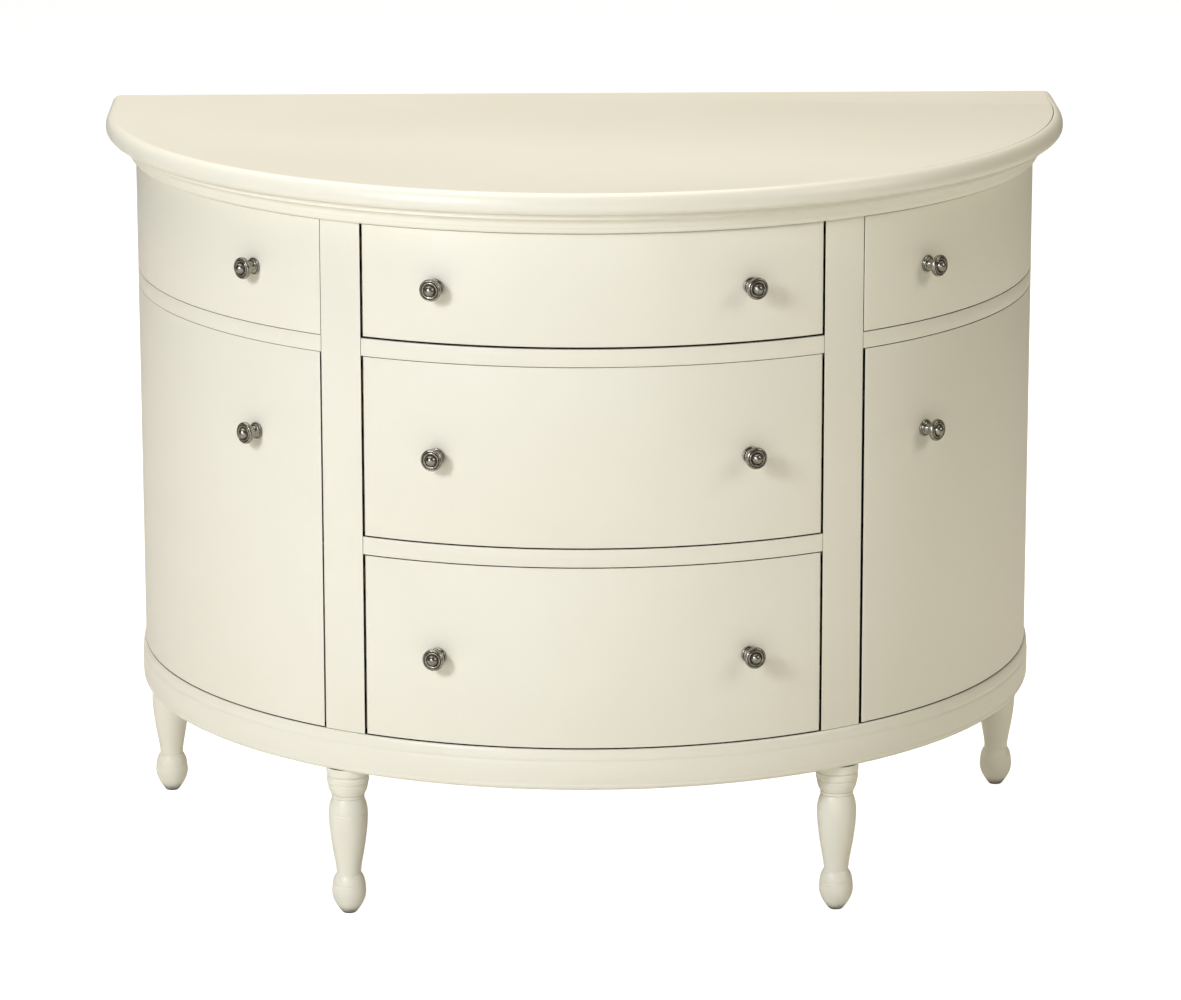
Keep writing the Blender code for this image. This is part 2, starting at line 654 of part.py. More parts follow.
def build_side_drawers():
    """A drawer above each door; its front turns the corner and runs on to the rear post."""
    start = STILE_OUTER + SIDE_DRAWER_GAP
    end = POST_FRONT_Y - SHADOW_GAP
    height = (UPPER_BASE + UPPER_TOP) / 2
    outline = side_line(0, start, end) + side_line(-FRONT_THICKNESS, start, end)[::-1]
    inner = STILE_OUTER + DRAWER_GUIDE_GAP + DRAWER_SIDE_THICKNESS
    outer = BODY_RADIUS - SIDE_BOX_OUTER_INSET - DRAWER_SIDE_THICKNESS
    rear = BACK_PANEL_FRONT_Y - DRAWER_REAR_GAP - DRAWER_SIDE_THICKNESS
    for side, sign in (("left", -1), ("right", 1)):
        name = f"side_drawer_{side}"
        origin = bow_point(sign * KNOB_SIDE_ANGLE, 0) + (height,)
        build_drawer(name, outline, (inner, outer), rear, (UPPER_BASE, UPPER_TOP), origin, side)
        add_knob(f"{name}_knob", sign * KNOB_SIDE_ANGLE, height, origin)


def build_doors():
    """A bowed door on each side, hung on pins inside its rounded rear edge."""
    start = STILE_OUTER + DOOR_SIDE_GAP
    low = APRON_TOP + SHADOW_GAP
    high = MIDDLE_TOP - SHADOW_GAP
    radius = FRONT_THICKNESS / 2
    for side, sign in (("left", -1), ("right", 1)):
        outline = side_line(0, start, PIVOT_Y)
        outline += [(PIVOT_X + radius * math.cos(turn), PIVOT_Y + radius * math.sin(turn))
                    for turn in (math.pi * step / ROUND_STEPS for step in range(1, ROUND_STEPS))]
        outline += side_line(-FRONT_THICKNESS, start, PIVOT_Y)[::-1]
        hinge = (sign * PIVOT_X, PIVOT_Y, low)
        door = add_piece(f"door_{side}", handed(ease_front(prism(outline, low, high)), side),
                         "ivory_paint", math.radians(30), hinge)
        depth = PIN_DEPTH + PIN_HOLE_SPARE
        for level, mouth, into in (("lower", low, 1), ("upper", high, -1)):
            length = depth + OVERRUN
            hole = turned([(0, 0), (0, PIN_HOLE_RADIUS), (length, PIN_HOLE_RADIUS), (length, 0)],
                          PIN_SIDES, (PIVOT_X, PIVOT_Y, mouth - into * OVERRUN), (0, 0, into))
            cut(door, add_cutter(f"pin_hole_cutter_{level}_{side}", handed(hole, side)))
        add_knob(f"door_{side}_knob", sign * KNOB_SIDE_ANGLE, MIDDLE_TOP - DOOR_KNOB_DROP, hinge)


def build_catches():
    """A magnetic catch on each partition, behind the stile, that the door's back closes on."""
    front = STILE_BACK_Y + SEAT_GAP
    door_back = BODY_RADIUS - FRONT_THICKNESS - SEAT_GAP
    reach = math.sqrt(door_back**2 - (ARC_Y - front) ** 2)
    top = MIDDLE_TOP - CATCH_BELOW_RAIL
    for side in ("left", "right"):
        block = box((PARTITION_OUTER + SEAT_GAP, front, top - CATCH_HEIGHT),
                    (reach, front + CATCH_DEPTH, top))
        add_piece(f"door_catch_{side}", handed(block, side), "catch_steel")


def build_sideboard():
    """Model every piece."""
    clear_scene()
    build_top()
    build_apron()
    build_posts()
    build_carcase()
    build_centre_rails()
    build_side_floors()
    build_legs()
    build_centre_drawers()
    build_side_drawers()
    build_doors()
    build_pivots()
    build_catches()


build_sideboard()
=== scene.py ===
# %% [markdown]
# # A half-round painted sideboard
#
# The real piece is a sideboard with a half-round plan. Three bowed drawers sit in the middle, and on
# each side a small drawer sits over a curved door. Everything that shows is painted a warm ivory with
# a satin sheen, and ten small pewter knobs are the only dark accents. Because the colour hardly
# changes, the light on the curves and the fine dark joints between the parts carry the whole picture,
# so the shapes come first and the finishes after them.
#
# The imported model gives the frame. It is faceted, which is fine for physics but shows on satin paint,
# so every curved piece in view is made again here with finer facets. Some joints and the knobs move by
# up to 4 mm, to where the photograph has them; the rest stays in place. Boards inside the carcase keep
# their solids and only get a better finish.

# %% Load the frame and keep its box
import math

import bmesh
import bpy
from mathutils import Matrix, Vector


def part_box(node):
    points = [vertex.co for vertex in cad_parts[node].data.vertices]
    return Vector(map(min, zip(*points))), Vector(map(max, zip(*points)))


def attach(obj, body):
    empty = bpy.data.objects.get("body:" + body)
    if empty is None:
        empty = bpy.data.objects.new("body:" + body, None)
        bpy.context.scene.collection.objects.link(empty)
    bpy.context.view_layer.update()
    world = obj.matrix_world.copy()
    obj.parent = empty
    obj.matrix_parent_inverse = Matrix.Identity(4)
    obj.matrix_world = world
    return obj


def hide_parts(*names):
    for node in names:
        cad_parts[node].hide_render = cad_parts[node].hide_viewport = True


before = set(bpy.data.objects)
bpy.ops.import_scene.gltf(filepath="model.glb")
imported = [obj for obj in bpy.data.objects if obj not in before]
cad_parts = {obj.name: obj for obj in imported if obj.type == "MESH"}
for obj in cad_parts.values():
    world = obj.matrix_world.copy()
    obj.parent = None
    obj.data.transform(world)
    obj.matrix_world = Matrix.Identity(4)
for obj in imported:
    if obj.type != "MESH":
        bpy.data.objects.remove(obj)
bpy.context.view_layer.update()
print("nodes:", len(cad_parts))

# %% [markdown]
# ## Reading the sizes
#
# Typing the sizes again would work, but a later change of the solids would then leave the looks
# behind. The frame can tell the box of each piece instead, so the plan and the heights are measured
# from the pieces that carry them. Points closer than a hundredth of a millimetre count as one, and
# a fold of more than forty degrees counts as an arris.

# %% Measure the plan and the heights
body_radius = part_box("rear_post_right")[1].x
wall_clearance = 0.00001
back_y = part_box("rear_post_right")[1].y - wall_clearance
arc_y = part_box("centre_rail_upper")[0].y + body_radius
bay_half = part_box("stile_right")[0].x
stile_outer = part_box("stile_right")[1].x
stile_back_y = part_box("stile_right")[1].y
top_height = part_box("top_panel")[1].z
top_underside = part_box("top_panel")[0].z
upper_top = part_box("cornice")[0].z
apron_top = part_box("apron")[1].z
leg_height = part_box("apron")[0].z
seat_gap = 0.0003
front_thickness = 0.020
rail_thickness = 0.022
apron_thickness = 0.022
touching, exact = 0.00001, 0.000001
arris_angle = math.radians(40)
long_edge = 0.1
print(f"bow radius {body_radius:.4f}, centre at y {arc_y:.4f}, back at y {back_y:.4f}")
print(f"heights: legs {leg_height:.4f}, apron {apron_top:.4f}, cornice {upper_top:.4f}, "
      f"top {top_height:.4f}")

# %% [markdown]
# ## Turning a mesh into a piece
#
# Each new piece rides on a body of the frame and stands for the solid that it replaces. One helper
# does the routine work: it merges doubles, turns the faces outwards, shades the curves smooth while
# it keeps the arrises crisp, and hands the piece to the frame.

# %% Helpers for finished pieces
made = []


def finish_piece(name, bm, body, stands_for=(), crisp=32):
    """Clean a mesh, make it an object, and let it ride on a body in place of its solids."""
    bmesh.ops.remove_doubles(bm, verts=bm.verts, dist=touching)
    bmesh.ops.recalc_face_normals(bm, faces=bm.faces)
    mesh = bpy.data.meshes.new(name)
    bm.to_mesh(mesh)
    bm.free()
    mesh.shade_smooth()
    mesh.set_sharp_from_angle(angle=math.radians(crisp))
    piece = bpy.data.objects.new(name, mesh)
    bpy.context.scene.collection.objects.link(piece)
    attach(piece, body)
    if stands_for:
        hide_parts(*stands_for)
    made.append(piece)


def verts_of(result):
    return [item for item in result["geom"] if isinstance(item, bmesh.types.BMVert)]


def edges_of(geometry):
    return [item for item in geometry if isinstance(item, bmesh.types.BMEdge)]


def join(parts):
    """Gather several meshes into one, as separate closed shells."""
    whole = bmesh.new()
    for part in parts:
        spare = bpy.data.meshes.new("spare")
        part.to_mesh(spare)
        part.free()
        whole.from_mesh(spare)
        bpy.data.meshes.remove(spare)
    return whole


def mirror_over(bm):
    """Turn a right-hand mesh over to the left side."""
    bmesh.ops.scale(bm, vec=(-1, 1, 1), verts=bm.verts)
    bmesh.ops.reverse_faces(bm, faces=bm.faces)
    return bm


def bevel(bm, edges, width, segments):
    """Round the given edges over."""
    bmesh.ops.bevel(bm, geom=edges, offset=width, offset_type="OFFSET", segments=segments, profile=0.5,
                    affect="EDGES", clamp_overlap=True, material=-1)
    return bm


# %% [markdown]
# ## Sawing and easing
#
# A bowed front on a real bench is laminated or sawn to a long curve first, and then its ends are cut
# off straight. Blender can copy that: spin a rectangle round the centre of the bow, cut the ends with
# bisect_plane, close the cuts, and take the sharp arris off with a small bevel. The bevel matters more
# than its size suggests, because it catches a thin line of light along every joint.

# %% Helpers to saw, ease and bend
def saw(bm, x=None, y=None, keep="low"):
    """Cut straight across the mesh and close the cut. keep says which side stays."""
    point = (x or 0, y or 0, 0)
    normal = (1, 0, 0) if x is not None else (0, 1, 0)
    bmesh.ops.bisect_plane(bm, geom=bm.verts[:] + bm.edges[:] + bm.faces[:], dist=exact,
                           plane_co=point, plane_no=normal,
                           clear_outer=keep == "low", clear_inner=keep == "high")
    bmesh.ops.holes_fill(bm, edges=bm.edges, sides=0)
    return bm


def bow(angle, radius):
    """A point in plan on a circle round the centre of the bow; angle 0 looks straight ahead."""
    return Vector((radius * math.sin(angle), arc_y - radius * math.cos(angle), 0))


def bent_bar(inner, outer, low, high, start, end, step=math.radians(0.75)):
    """A bar of rectangular section, spun round the bow from one angle to another."""
    bm = bmesh.new()
    corners = []
    for radius, height in ((inner, low), (outer, low), (outer, high), (inner, high)):
        corners.append(bm.verts.new(bow(start, radius) + Vector((0, 0, height))))
    blade = bm.faces.new(corners)
    count = max(4, round(abs(end - start) / step))
    bmesh.ops.spin(bm, geom=[blade], cent=(0, arc_y, 0), axis=(0, 0, 1), angle=end - start,
                   steps=count, use_merge=False, use_duplicate=False)
    bmesh.ops.recalc_face_normals(bm, faces=bm.faces)
    return bm


def run_back(bm, distance):
    """Draw the end of a bar that has reached the side straight back along the return."""
    square_on = 0.99
    ends = [face for face in bm.faces if abs(face.normal.y) > square_on
            and all(abs(vert.co.y - arc_y) < touching for vert in face.verts)]
    result = bmesh.ops.extrude_face_region(bm, geom=ends)
    bmesh.ops.translate(bm, verts=verts_of(result), vec=(0, distance, 0))
    bmesh.ops.delete(bm, geom=ends, context="FACES_KEEP_BOUNDARY")


def ease(bm, width, reach, segments=3):
    """Round over the arrises that lie outside a radius from the centre of the bow."""
    edges = []
    for edge in bm.edges:
        if len(edge.link_faces) != 2 or edge.calc_face_angle() < arris_angle:
            continue
        if all(math.hypot(vert.co.x, min(vert.co.y - arc_y, 0)) > reach for vert in edge.verts):
            edges.append(edge)
    bevel(bm, edges, width, segments)


# %% [markdown]
# ## The bars of the front
#
# The centre rails, side rails and stiles share the body's surface. They are all the same bent bar,
# sawn to length: the centre ones between the stiles, the side ones from a stile to the rear post. The
# photograph shows the joint over a side rail 4 mm lower than the solids have it, and the joints over
# and under that rail tighter, most of all on the left. The joints over the centre rails are up to a
# millimetre wider there. The new rails, fronts and doors follow the photograph.

# %% Make the centre bars and the side bars
spare_turn, spare_side_turn = 0.02, 0.03


def centre_bar(low, high, thickness, half_width):
    """A bar across the centre bay, sawn straight at both ends."""
    reach = math.asin(half_width / (body_radius - thickness)) + spare_turn
    bm = bent_bar(body_radius - thickness, body_radius, low, high, -reach, reach)
    saw(bm, x=half_width, keep="low")
    return saw(bm, x=-half_width, keep="high")


def side_bar(low, high, thickness, start_x, end_y, side):
    """A bar from beside the stile round the corner and along the return, for either side."""
    start = math.asin(start_x / body_radius) - spare_side_turn
    bm = bent_bar(body_radius - thickness, body_radius, low, high, start, math.pi / 2)
    saw(bm, x=start_x, keep="high")
    run_back(bm, end_y - arc_y)
    return mirror_over(bm) if side == "left" else bm


arris = 0.0006
drawer_joint_drop, door_joint_drop = 0.0040, 0.0008
tighter = {"left": 0.0010, "right": 0.0006}
centre_joint_drop = {"upper": 0.0010, "lower": 0.0007}
for level in ("upper", "lower"):
    low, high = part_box(f"centre_rail_{level}")
    bm = centre_bar(low.z, high.z - centre_joint_drop[level], rail_thickness, high.x)
    ease(bm, arris, body_radius - arris, segments=2)
    finish_piece(f"bowed_rail_{level}", bm, "carcase", [f"centre_rail_{level}"])
for side in ("left", "right"):
    low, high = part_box(f"side_rail_{side}")
    base = low.z - door_joint_drop - tighter[side] / 2
    head = high.z - drawer_joint_drop + tighter[side] / 2
    bm = side_bar(base, head, rail_thickness, stile_outer + seat_gap, high.y, side)
    ease(bm, arris, body_radius - arris, segments=2)
    finish_piece(f"curved_rail_{side}", bm, "carcase", [f"side_rail_{side}"])
print("rails:", [piece.name for piece in made])

# %% [markdown]
# ## Stiles
#
# The two front uprights stand between the drawers and the doors. Above the apron they show their
# bowed face; behind the apron they run on down to the legs, set back by the apron's thickness. The
# deep bar is sawn on three sides, once for each of the two heights.

# %% Make the stiles
stile_stock = 0.12
spare_before, spare_after = 0.06, 0.10


def stile_block(outer, low, high):
    """A length of stile: a deep bent bar, sawn to the stile's width and depth."""
    first = math.asin(bay_half / body_radius) - spare_before
    last = math.asin(stile_outer / body_radius) + spare_after
    bm = bent_bar(body_radius - stile_stock, outer, low, high, first, last)
    saw(bm, x=bay_half, keep="high")
    saw(bm, x=stile_outer, keep="low")
    return saw(bm, y=stile_back_y, keep="low")


for side in ("left", "right"):
    low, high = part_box(f"stile_{side}")
    bm = stile_block(body_radius, apron_top + seat_gap, high.z)
    ease(bm, arris, body_radius - arris, segments=2)
    foot = stile_block(body_radius - apron_thickness - seat_gap, low.z, apron_top + 2 * seat_gap)
    bm = join([bm, foot])
    if side == "left":
        mirror_over(bm)
    finish_piece(f"front_stile_{side}", bm, "carcase", [f"stile_{side}"])
print("stile width", round((stile_outer - bay_half) * 1000, 1), "mm")

# %% [markdown]
# ## Drawer fronts and doors
#
# The fronts are the largest quiet surfaces of the piece. They are bent bars again, with a slightly
# rounder arris than the rails, because fronts are handled. A door also turns on pins inside its rear
# edge, so that edge is rounded right over: two bevels, each almost half the door's thickness, make it.

# %% Make the drawer fronts
front_arris = 0.0012
front_narrower = 0.0003
front_raised = {"upper": 0.0009, "middle": 0.0009, "lower": 0.0003}
front_lowered = {"upper": 0.0, "middle": 0.0005, "lower": 0.0}
side_front_raised = {"left": 0.0009, "right": 0.0004}
side_front_longer = {"left": 0.0012, "right": 0.0009}
for level in ("upper", "middle", "lower"):
    low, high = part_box(f"drawer_{level}_front")
    base, head = low.z - front_lowered[level], high.z + front_raised[level]
    bm = centre_bar(base, head, front_thickness, high.x - front_narrower)
    ease(bm, front_arris, body_radius - front_arris / 2)
    finish_piece(f"bowed_front_{level}", bm, f"{level}_drawer", [f"drawer_{level}_front"])
for side in ("left", "right"):
    low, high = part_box(f"side_drawer_{side}_front")
    start_x = min(abs(low.x), abs(high.x)) - side_front_longer[side]
    base = low.z - drawer_joint_drop - tighter[side] / 2
    head = high.z + side_front_raised[side]
    bm = side_bar(base, head, front_thickness, start_x, high.y, side)
    ease(bm, front_arris, body_radius - front_arris / 2)
    finish_piece(f"curved_front_{side}", bm, f"{side}_side_drawer", [f"side_drawer_{side}_front"])

# %% Make the doors
door_longer = {"left": 0.0009, "right": -0.0005}
rounding_share = 0.495
for side in ("left", "right"):
    low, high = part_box(f"door_{side}")
    start_x = min(abs(low.x), abs(high.x)) - door_longer[side]
    head = high.z - door_joint_drop + tighter[side] / 2
    bm = side_bar(low.z, head, front_thickness, start_x, high.y, side)
    rear = [edge for edge in bm.edges
            if all(abs(vert.co.y - high.y) < touching for vert in edge.verts)
            and abs(edge.verts[0].co.z - edge.verts[1].co.z) > long_edge]
    bevel(bm, rear, front_thickness * rounding_share, 8)
    ease(bm, front_arris, body_radius - front_arris / 2)
    finish_piece(f"curved_door_{side}", bm, f"{side}_door", [f"door_{side}"])
print("fronts and doors:", [piece.name for piece in made[-7:]])

# %% [markdown]
# ## The top and its mouldings
#
# The top is a flat panel with a rounded moulding glued round its curved edge; the photograph shows
# the hairline between them on the right. Under it come a fillet, a cove and a bead. A moulding is a
# section carried along a path, and since the path here is a half circle with two short straights, one
# extrusion, one spin and a second extrusion carry the section all the way round.

# %% Carry a section round the plan
round_steps = 200


def arc(centre, across, up, start, end, steps=10):
    """Points on a quarter of an ellipse in a section, as offset from the body and height."""
    points = []
    for step in range(steps + 1):
        angle = math.radians(start + (end - start) * step / steps)
        points.append((centre[0] + across * math.cos(angle), centre[1] + up * math.sin(angle)))
    return points


def carry_round(section, steps=round_steps):
    """Sweep a closed section along one return, round the bow and along the other return."""
    bm = bmesh.new()
    loop = [bm.verts.new((body_radius + offset, back_y, height)) for offset, height in section]
    moving = [bm.edges.new(pair) for pair in zip(loop, loop[1:] + loop[:1])]
    first = bmesh.ops.extrude_edge_only(bm, edges=moving)
    bmesh.ops.translate(bm, verts=verts_of(first), vec=(0, arc_y - back_y, 0))
    moving = edges_of(first["geom"])
    moving = [edge for edge in moving if all(abs(vert.co.y - arc_y) < exact for vert in edge.verts)]
    swept = bmesh.ops.spin(bm, geom=verts_of(first) + moving, cent=(0, arc_y, 0), axis=(0, 0, 1),
                           angle=-math.pi, steps=steps, use_merge=False, use_duplicate=False)
    last = bmesh.ops.extrude_edge_only(bm, edges=edges_of(swept["geom_last"]))
    bmesh.ops.translate(bm, verts=verts_of(last), vec=(0, back_y - arc_y, 0))
    bmesh.ops.holes_fill(bm, edges=bm.edges, sides=0)
    return bm


# %% Make the top panel
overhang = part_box("top_edge_moulding")[1].x - body_radius
edge_width = 0.012
joint = overhang - edge_width
top_arris = 0.0005
crack_start, crack_run = 0.16, 0.22
crack_lead, crack_fade = 0.02, 0.05
rim_width, near = 0.002, 0.001
closed_joint, open_joint = seat_gap - 0.00003, 0.0004
bm = bmesh.new()
corner = bm.verts.new((-(body_radius + joint - seat_gap), arc_y, top_underside))
arc_line = bmesh.ops.spin(bm, geom=[corner], cent=(0, arc_y, 0), axis=(0, 0, 1), angle=math.pi,
                          steps=round_steps, use_merge=False, use_duplicate=False)
last = [item for item in arc_line["geom_last"] if isinstance(item, bmesh.types.BMVert)][0]
rear_left = bm.verts.new((corner.co.x, back_y, top_underside))
rear_right = bm.verts.new((last.co.x, back_y, top_underside))
for pair in ((corner, rear_left), (rear_left, rear_right), (rear_right, last)):
    bm.edges.new(pair)
face = bmesh.ops.contextual_create(bm, geom=bm.edges[:])["faces"]
raised = bmesh.ops.extrude_face_region(bm, geom=face)
bmesh.ops.translate(bm, verts=verts_of(raised), vec=(0, 0, top_height - top_underside))
rim = [edge for edge in bm.edges if all(vert.co.z > top_height - touching for vert in edge.verts)]
bevel(bm, rim, top_arris, 2)


def crack_share(place):
    """How far the joint of the top has opened: closed on the left, open on the right of the bow."""
    share = min(max((place.x - crack_start) / crack_run, 0), 1)
    fading = min(max((place.y - arc_y + crack_lead) / crack_fade, 0), 1)
    return share * share * (3 - 2 * share) * (1 - fading)


for vert in bm.verts:
    from_axis = Vector((vert.co.x, min(vert.co.y - arc_y, 0)))
    if from_axis.length > body_radius + joint - rim_width:
        shut = 1 - crack_share(vert.co)
        outwards = from_axis.normalized() * (closed_joint * shut - open_joint * (1 - shut))
        vert.co.x += outwards.x
        vert.co.y += outwards.y if vert.co.y < back_y - near else 0
        if vert.co.z > top_height - near:
            vert.co.z = top_height - (top_height - vert.co.z) * crack_share(vert.co)
finish_piece("flat_top", bm, "carcase", ["top_panel"])

# %% Make the rounded edge of the top
hip = top_height - 0.0162
joint_depth, joint_reach = 0.0007, 0.0006
section = arc((joint, hip), edge_width, top_height - hip, 88, 0, steps=14)
section += arc((joint, hip), edge_width, hip - top_underside, 0, -90)[1:]
section += [(joint, top_height - joint_depth)]
bm = carry_round(section)
for vert in bm.verts:
    from_axis = math.hypot(vert.co.x, min(vert.co.y - arc_y, 0))
    if abs(from_axis - body_radius - joint) < joint_reach and vert.co.z > top_height - near:
        vert.co.z = top_height - (top_height - vert.co.z) * crack_share(vert.co)
finish_piece("rounded_edge", bm, "carcase", ["top_edge_moulding"])

# %% Make the cornice
head = top_underside - seat_gap
fillet, fillet_height, step_in = 0.0215, 0.0065, 0.0025
cornice_depth, nib = 0.040, 0.0006
cove_height = 0.0120
cove_top = top_underside - fillet_height
cove_foot = cove_top - cove_height
cove_in, bead, foot_in = 0.009, 0.008, 0.0035
quirk_depth, quirk_width = 0.0011, 0.0008
cove_out, cove_start = fillet - step_in, cove_top - quirk_width
lower_quirk = cove_in - quirk_depth / 2
section = [(-cornice_depth, head), (fillet - nib, head), (fillet, head - nib)]
section += [(fillet, cove_top + nib), (fillet - nib, cove_top)]
section += [(cove_out - quirk_depth, cove_top), (cove_out - quirk_depth, cove_start)]
section += arc((cove_out, cove_foot), cove_out - cove_in, cove_start - cove_foot, 94, 180)[1:]
section += [(lower_quirk, cove_foot), (lower_quirk, cove_foot - quirk_width / 2)]
section += arc((foot_in, cove_foot), bead - foot_in, cove_foot - upper_top, -6, -90, steps=8)
section += [(-cornice_depth, upper_top)]
finish_piece("cove_cornice", carry_round(section), "carcase", ["cornice"])
print("overhang of the top", round(overhang * 1000, 1), "mm")

# %% [markdown]
# ## The apron
#
# The band under the doors and drawers stands a little proud of them. It starts with a soft swell that
# catches the light, then a shallow hollow, a flat, and a faint line just above its rounded foot. The
# hollow is barely a millimetre deep, but without it the band would look like a plain strip.

# %% Make the apron
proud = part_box("apron")[1].x - body_radius
round_foot = 0.006
quirk = apron_top - 0.013
lower_line = leg_height + 0.0095
swell_step, foot_step, inner_lip = 0.0006, 0.0002, 0.0004
# How far each point lies behind the face, and how far under the quirk or the lower line
hollow = [(0.0011, 0.0010), (0.0010, 0.0020), (0.0004, 0.0035), (0.0, 0.0050)]
scratch = [(0.0, -0.0010), (0.0003, 0.0), (0.0001, 0.0010)]
section = [(-apron_thickness, apron_top), (-inner_lip, apron_top)]
section += arc((0, quirk), proud - swell_step, apron_top - quirk, 86, 0, steps=10)
section += [(proud - behind, quirk - under) for behind, under in hollow]
section += [(proud - behind, lower_line - under) for behind, under in scratch]
section += arc((proud - round_foot, leg_height + round_foot), round_foot - foot_step, round_foot, 20, -90)
section += [(-apron_thickness, leg_height)]
finish_piece("moulded_apron", carry_round(section), "carcase", ["apron"])

# %% [markdown]
# ## Turned legs
#
# Turned work is the classic job for spin: draw half the outline and carry it round the axis. A lathe
# leaves flowing lines between its beads, so the outline is drawn with few points and a spline is run
# through them. A point that is given twice stays a sharp corner.

# %% Draw flowing outlines and spin them
def flowing(points, steps=5):
    """Run a Catmull-Rom line through the points; a doubled point stays sharp."""
    doubled = 1e-9
    line = []
    for index in range(len(points) - 1):
        here, there = Vector(points[index]), Vector(points[index + 1])
        if (here - there).length < doubled:
            continue
        before = Vector(points[max(index - 1, 0)])
        after = Vector(points[min(index + 2, len(points) - 1)])
        for step in range(steps):
            t = step / steps
            pull = (there - before) * t * (1 - t) ** 2 / 2 - (after - here) * t * t * (1 - t) / 2
            blend = here * (1 + 2 * t) * (1 - t) ** 2 + there * t * t * (3 - 2 * t)
            line.append(tuple(blend + pull))
    line.append(tuple(points[-1]))
    return line


def turn(outline, sides):
    """Spin an outline of (distance along the axis, radius) into a closed solid along +Z."""
    bm = bmesh.new()
    rim = [bm.verts.new((radius, 0, along)) for along, radius in outline]
    edges = [bm.edges.new(pair) for pair in zip(rim, rim[1:])]
    bmesh.ops.spin(bm, geom=rim + edges, cent=(0, 0, 0), axis=(0, 0, 1), angle=2 * math.pi,
                   steps=sides, use_merge=True, use_duplicate=False)
    bmesh.ops.holes_fill(bm, edges=bm.edges, sides=0)
    return bm


# %% Turn the legs
leg_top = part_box("leg_front_right")[1].z
leg_radius = (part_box("leg_rear_right")[1].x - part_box("leg_rear_right")[0].x) / 2
leg_shares = [
    (0.000, 1.000), (0.000, 1.000), (0.046, 1.000), (0.052, 0.992), (0.060, 0.938), (0.060, 0.938),
    (0.067, 0.972), (0.080, 0.985), (0.096, 0.984), (0.106, 0.966), (0.112, 0.926), (0.112, 0.926),
    (0.118, 0.946), (0.126, 0.936), (0.150, 0.900), (0.172, 0.840), (0.186, 0.786), (0.190, 0.745),
    (0.190, 0.745), (0.194, 0.768), (0.202, 0.773), (0.209, 0.764), (0.213, 0.732), (0.213, 0.732),
    (0.219, 0.762), (0.240, 0.822), (0.262, 0.866), (0.290, 0.900), (0.312, 0.914), (0.312, 0.914),
    (0.316, 0.904), (0.321, 0.914), (0.321, 0.914), (0.360, 0.908), (0.400, 0.890), (0.446, 0.860),
    (0.500, 0.812), (0.557, 0.755), (0.623, 0.668), (0.684, 0.597), (0.716, 0.574), (0.731, 0.570),
    (0.731, 0.570), (0.744, 0.640), (0.770, 0.720), (0.802, 0.768), (0.802, 0.768), (0.806, 0.760),
    (0.811, 0.775), (0.811, 0.775), (0.856, 0.800), (0.888, 0.768), (0.915, 0.706), (0.940, 0.620),
    (0.960, 0.530), (0.978, 0.440), (0.991, 0.365), (1.000, 0.300),
]
leg_line = [(share * leg_top, radius * leg_radius) for share, radius in leg_shares]
for place in ("front", "rear"):
    for side in ("left", "right"):
        low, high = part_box(f"leg_{place}_{side}")
        bm = turn(flowing(leg_line, steps=4), 64)
        bmesh.ops.rotate(bm, verts=bm.verts, cent=(0, 0, 0), matrix=Matrix.Rotation(math.pi, 3, "X"))
        centre = (low + high) / 2
        bmesh.ops.translate(bm, verts=bm.verts, vec=(centre.x, centre.y, leg_top))
        finish_piece(f"turned_leg_{place}_{side}", bm, "carcase", [f"leg_{place}_{side}"], crisp=38)
print("leg", round(leg_top * 1000), "mm long,", round(leg_radius * 2000), "mm across its collar")

# %% [markdown]
# ## Knobs
#
# The knobs are small castings: a stepped base, a slim neck, and a head with a rolled rim, a sunk ring
# and a raised boss. They are under 25 pixels across in the picture, yet the rings read clearly, because
# dark patina sits in the grooves. So the grooves are modelled, and the patina follows them.

# %% Turn the knobs
knob_line = [
    (0.0000, 0.0098), (0.0000, 0.0098), (0.0009, 0.0102), (0.0018, 0.0099), (0.0022, 0.0092),
    (0.0022, 0.0092), (0.0018, 0.0084), (0.0018, 0.0084), (0.0026, 0.0082), (0.0036, 0.0076),
    (0.0042, 0.0064), (0.0042, 0.0064), (0.0056, 0.0054), (0.0086, 0.0046), (0.0116, 0.0048),
    (0.0134, 0.0062), (0.0146, 0.0086), (0.0146, 0.0086), (0.0151, 0.0108), (0.0162, 0.0126),
    (0.0178, 0.0133), (0.0194, 0.0133), (0.0208, 0.0128), (0.0217, 0.0120), (0.0219, 0.0113),
    (0.0215, 0.0108), (0.0207, 0.0106), (0.0207, 0.0106), (0.0205, 0.0102), (0.0205, 0.0102),
    (0.0213, 0.0100), (0.0219, 0.0095), (0.0220, 0.0087), (0.0217, 0.0079), (0.0212, 0.0075),
    (0.0205, 0.0073), (0.0205, 0.0073), (0.0205, 0.0069), (0.0205, 0.0069), (0.0220, 0.0066),
    (0.0238, 0.0059), (0.0254, 0.0047), (0.0266, 0.0032), (0.0272, 0.0017), (0.0274, 0.0000),
]


def knob_places():
    """Solid, body and drop of each knob; in the photograph they hang a little under the solids' places."""
    drops = {"upper": 0.0008, "middle": 0.0038, "lower": 0.0016}
    side_drops = {"left": (0.0020, 0.0012), "right": (0.0034, 0.0026)}
    for level, drop in drops.items():
        for side in ("left", "right"):
            yield f"drawer_{level}_knob_{side}", f"{level}_drawer", drop
    for side, (drawer_drop, door_drop) in side_drops.items():
        yield f"side_drawer_{side}_knob", f"{side}_side_drawer", drawer_drop
        yield f"door_{side}_knob", f"{side}_door", door_drop


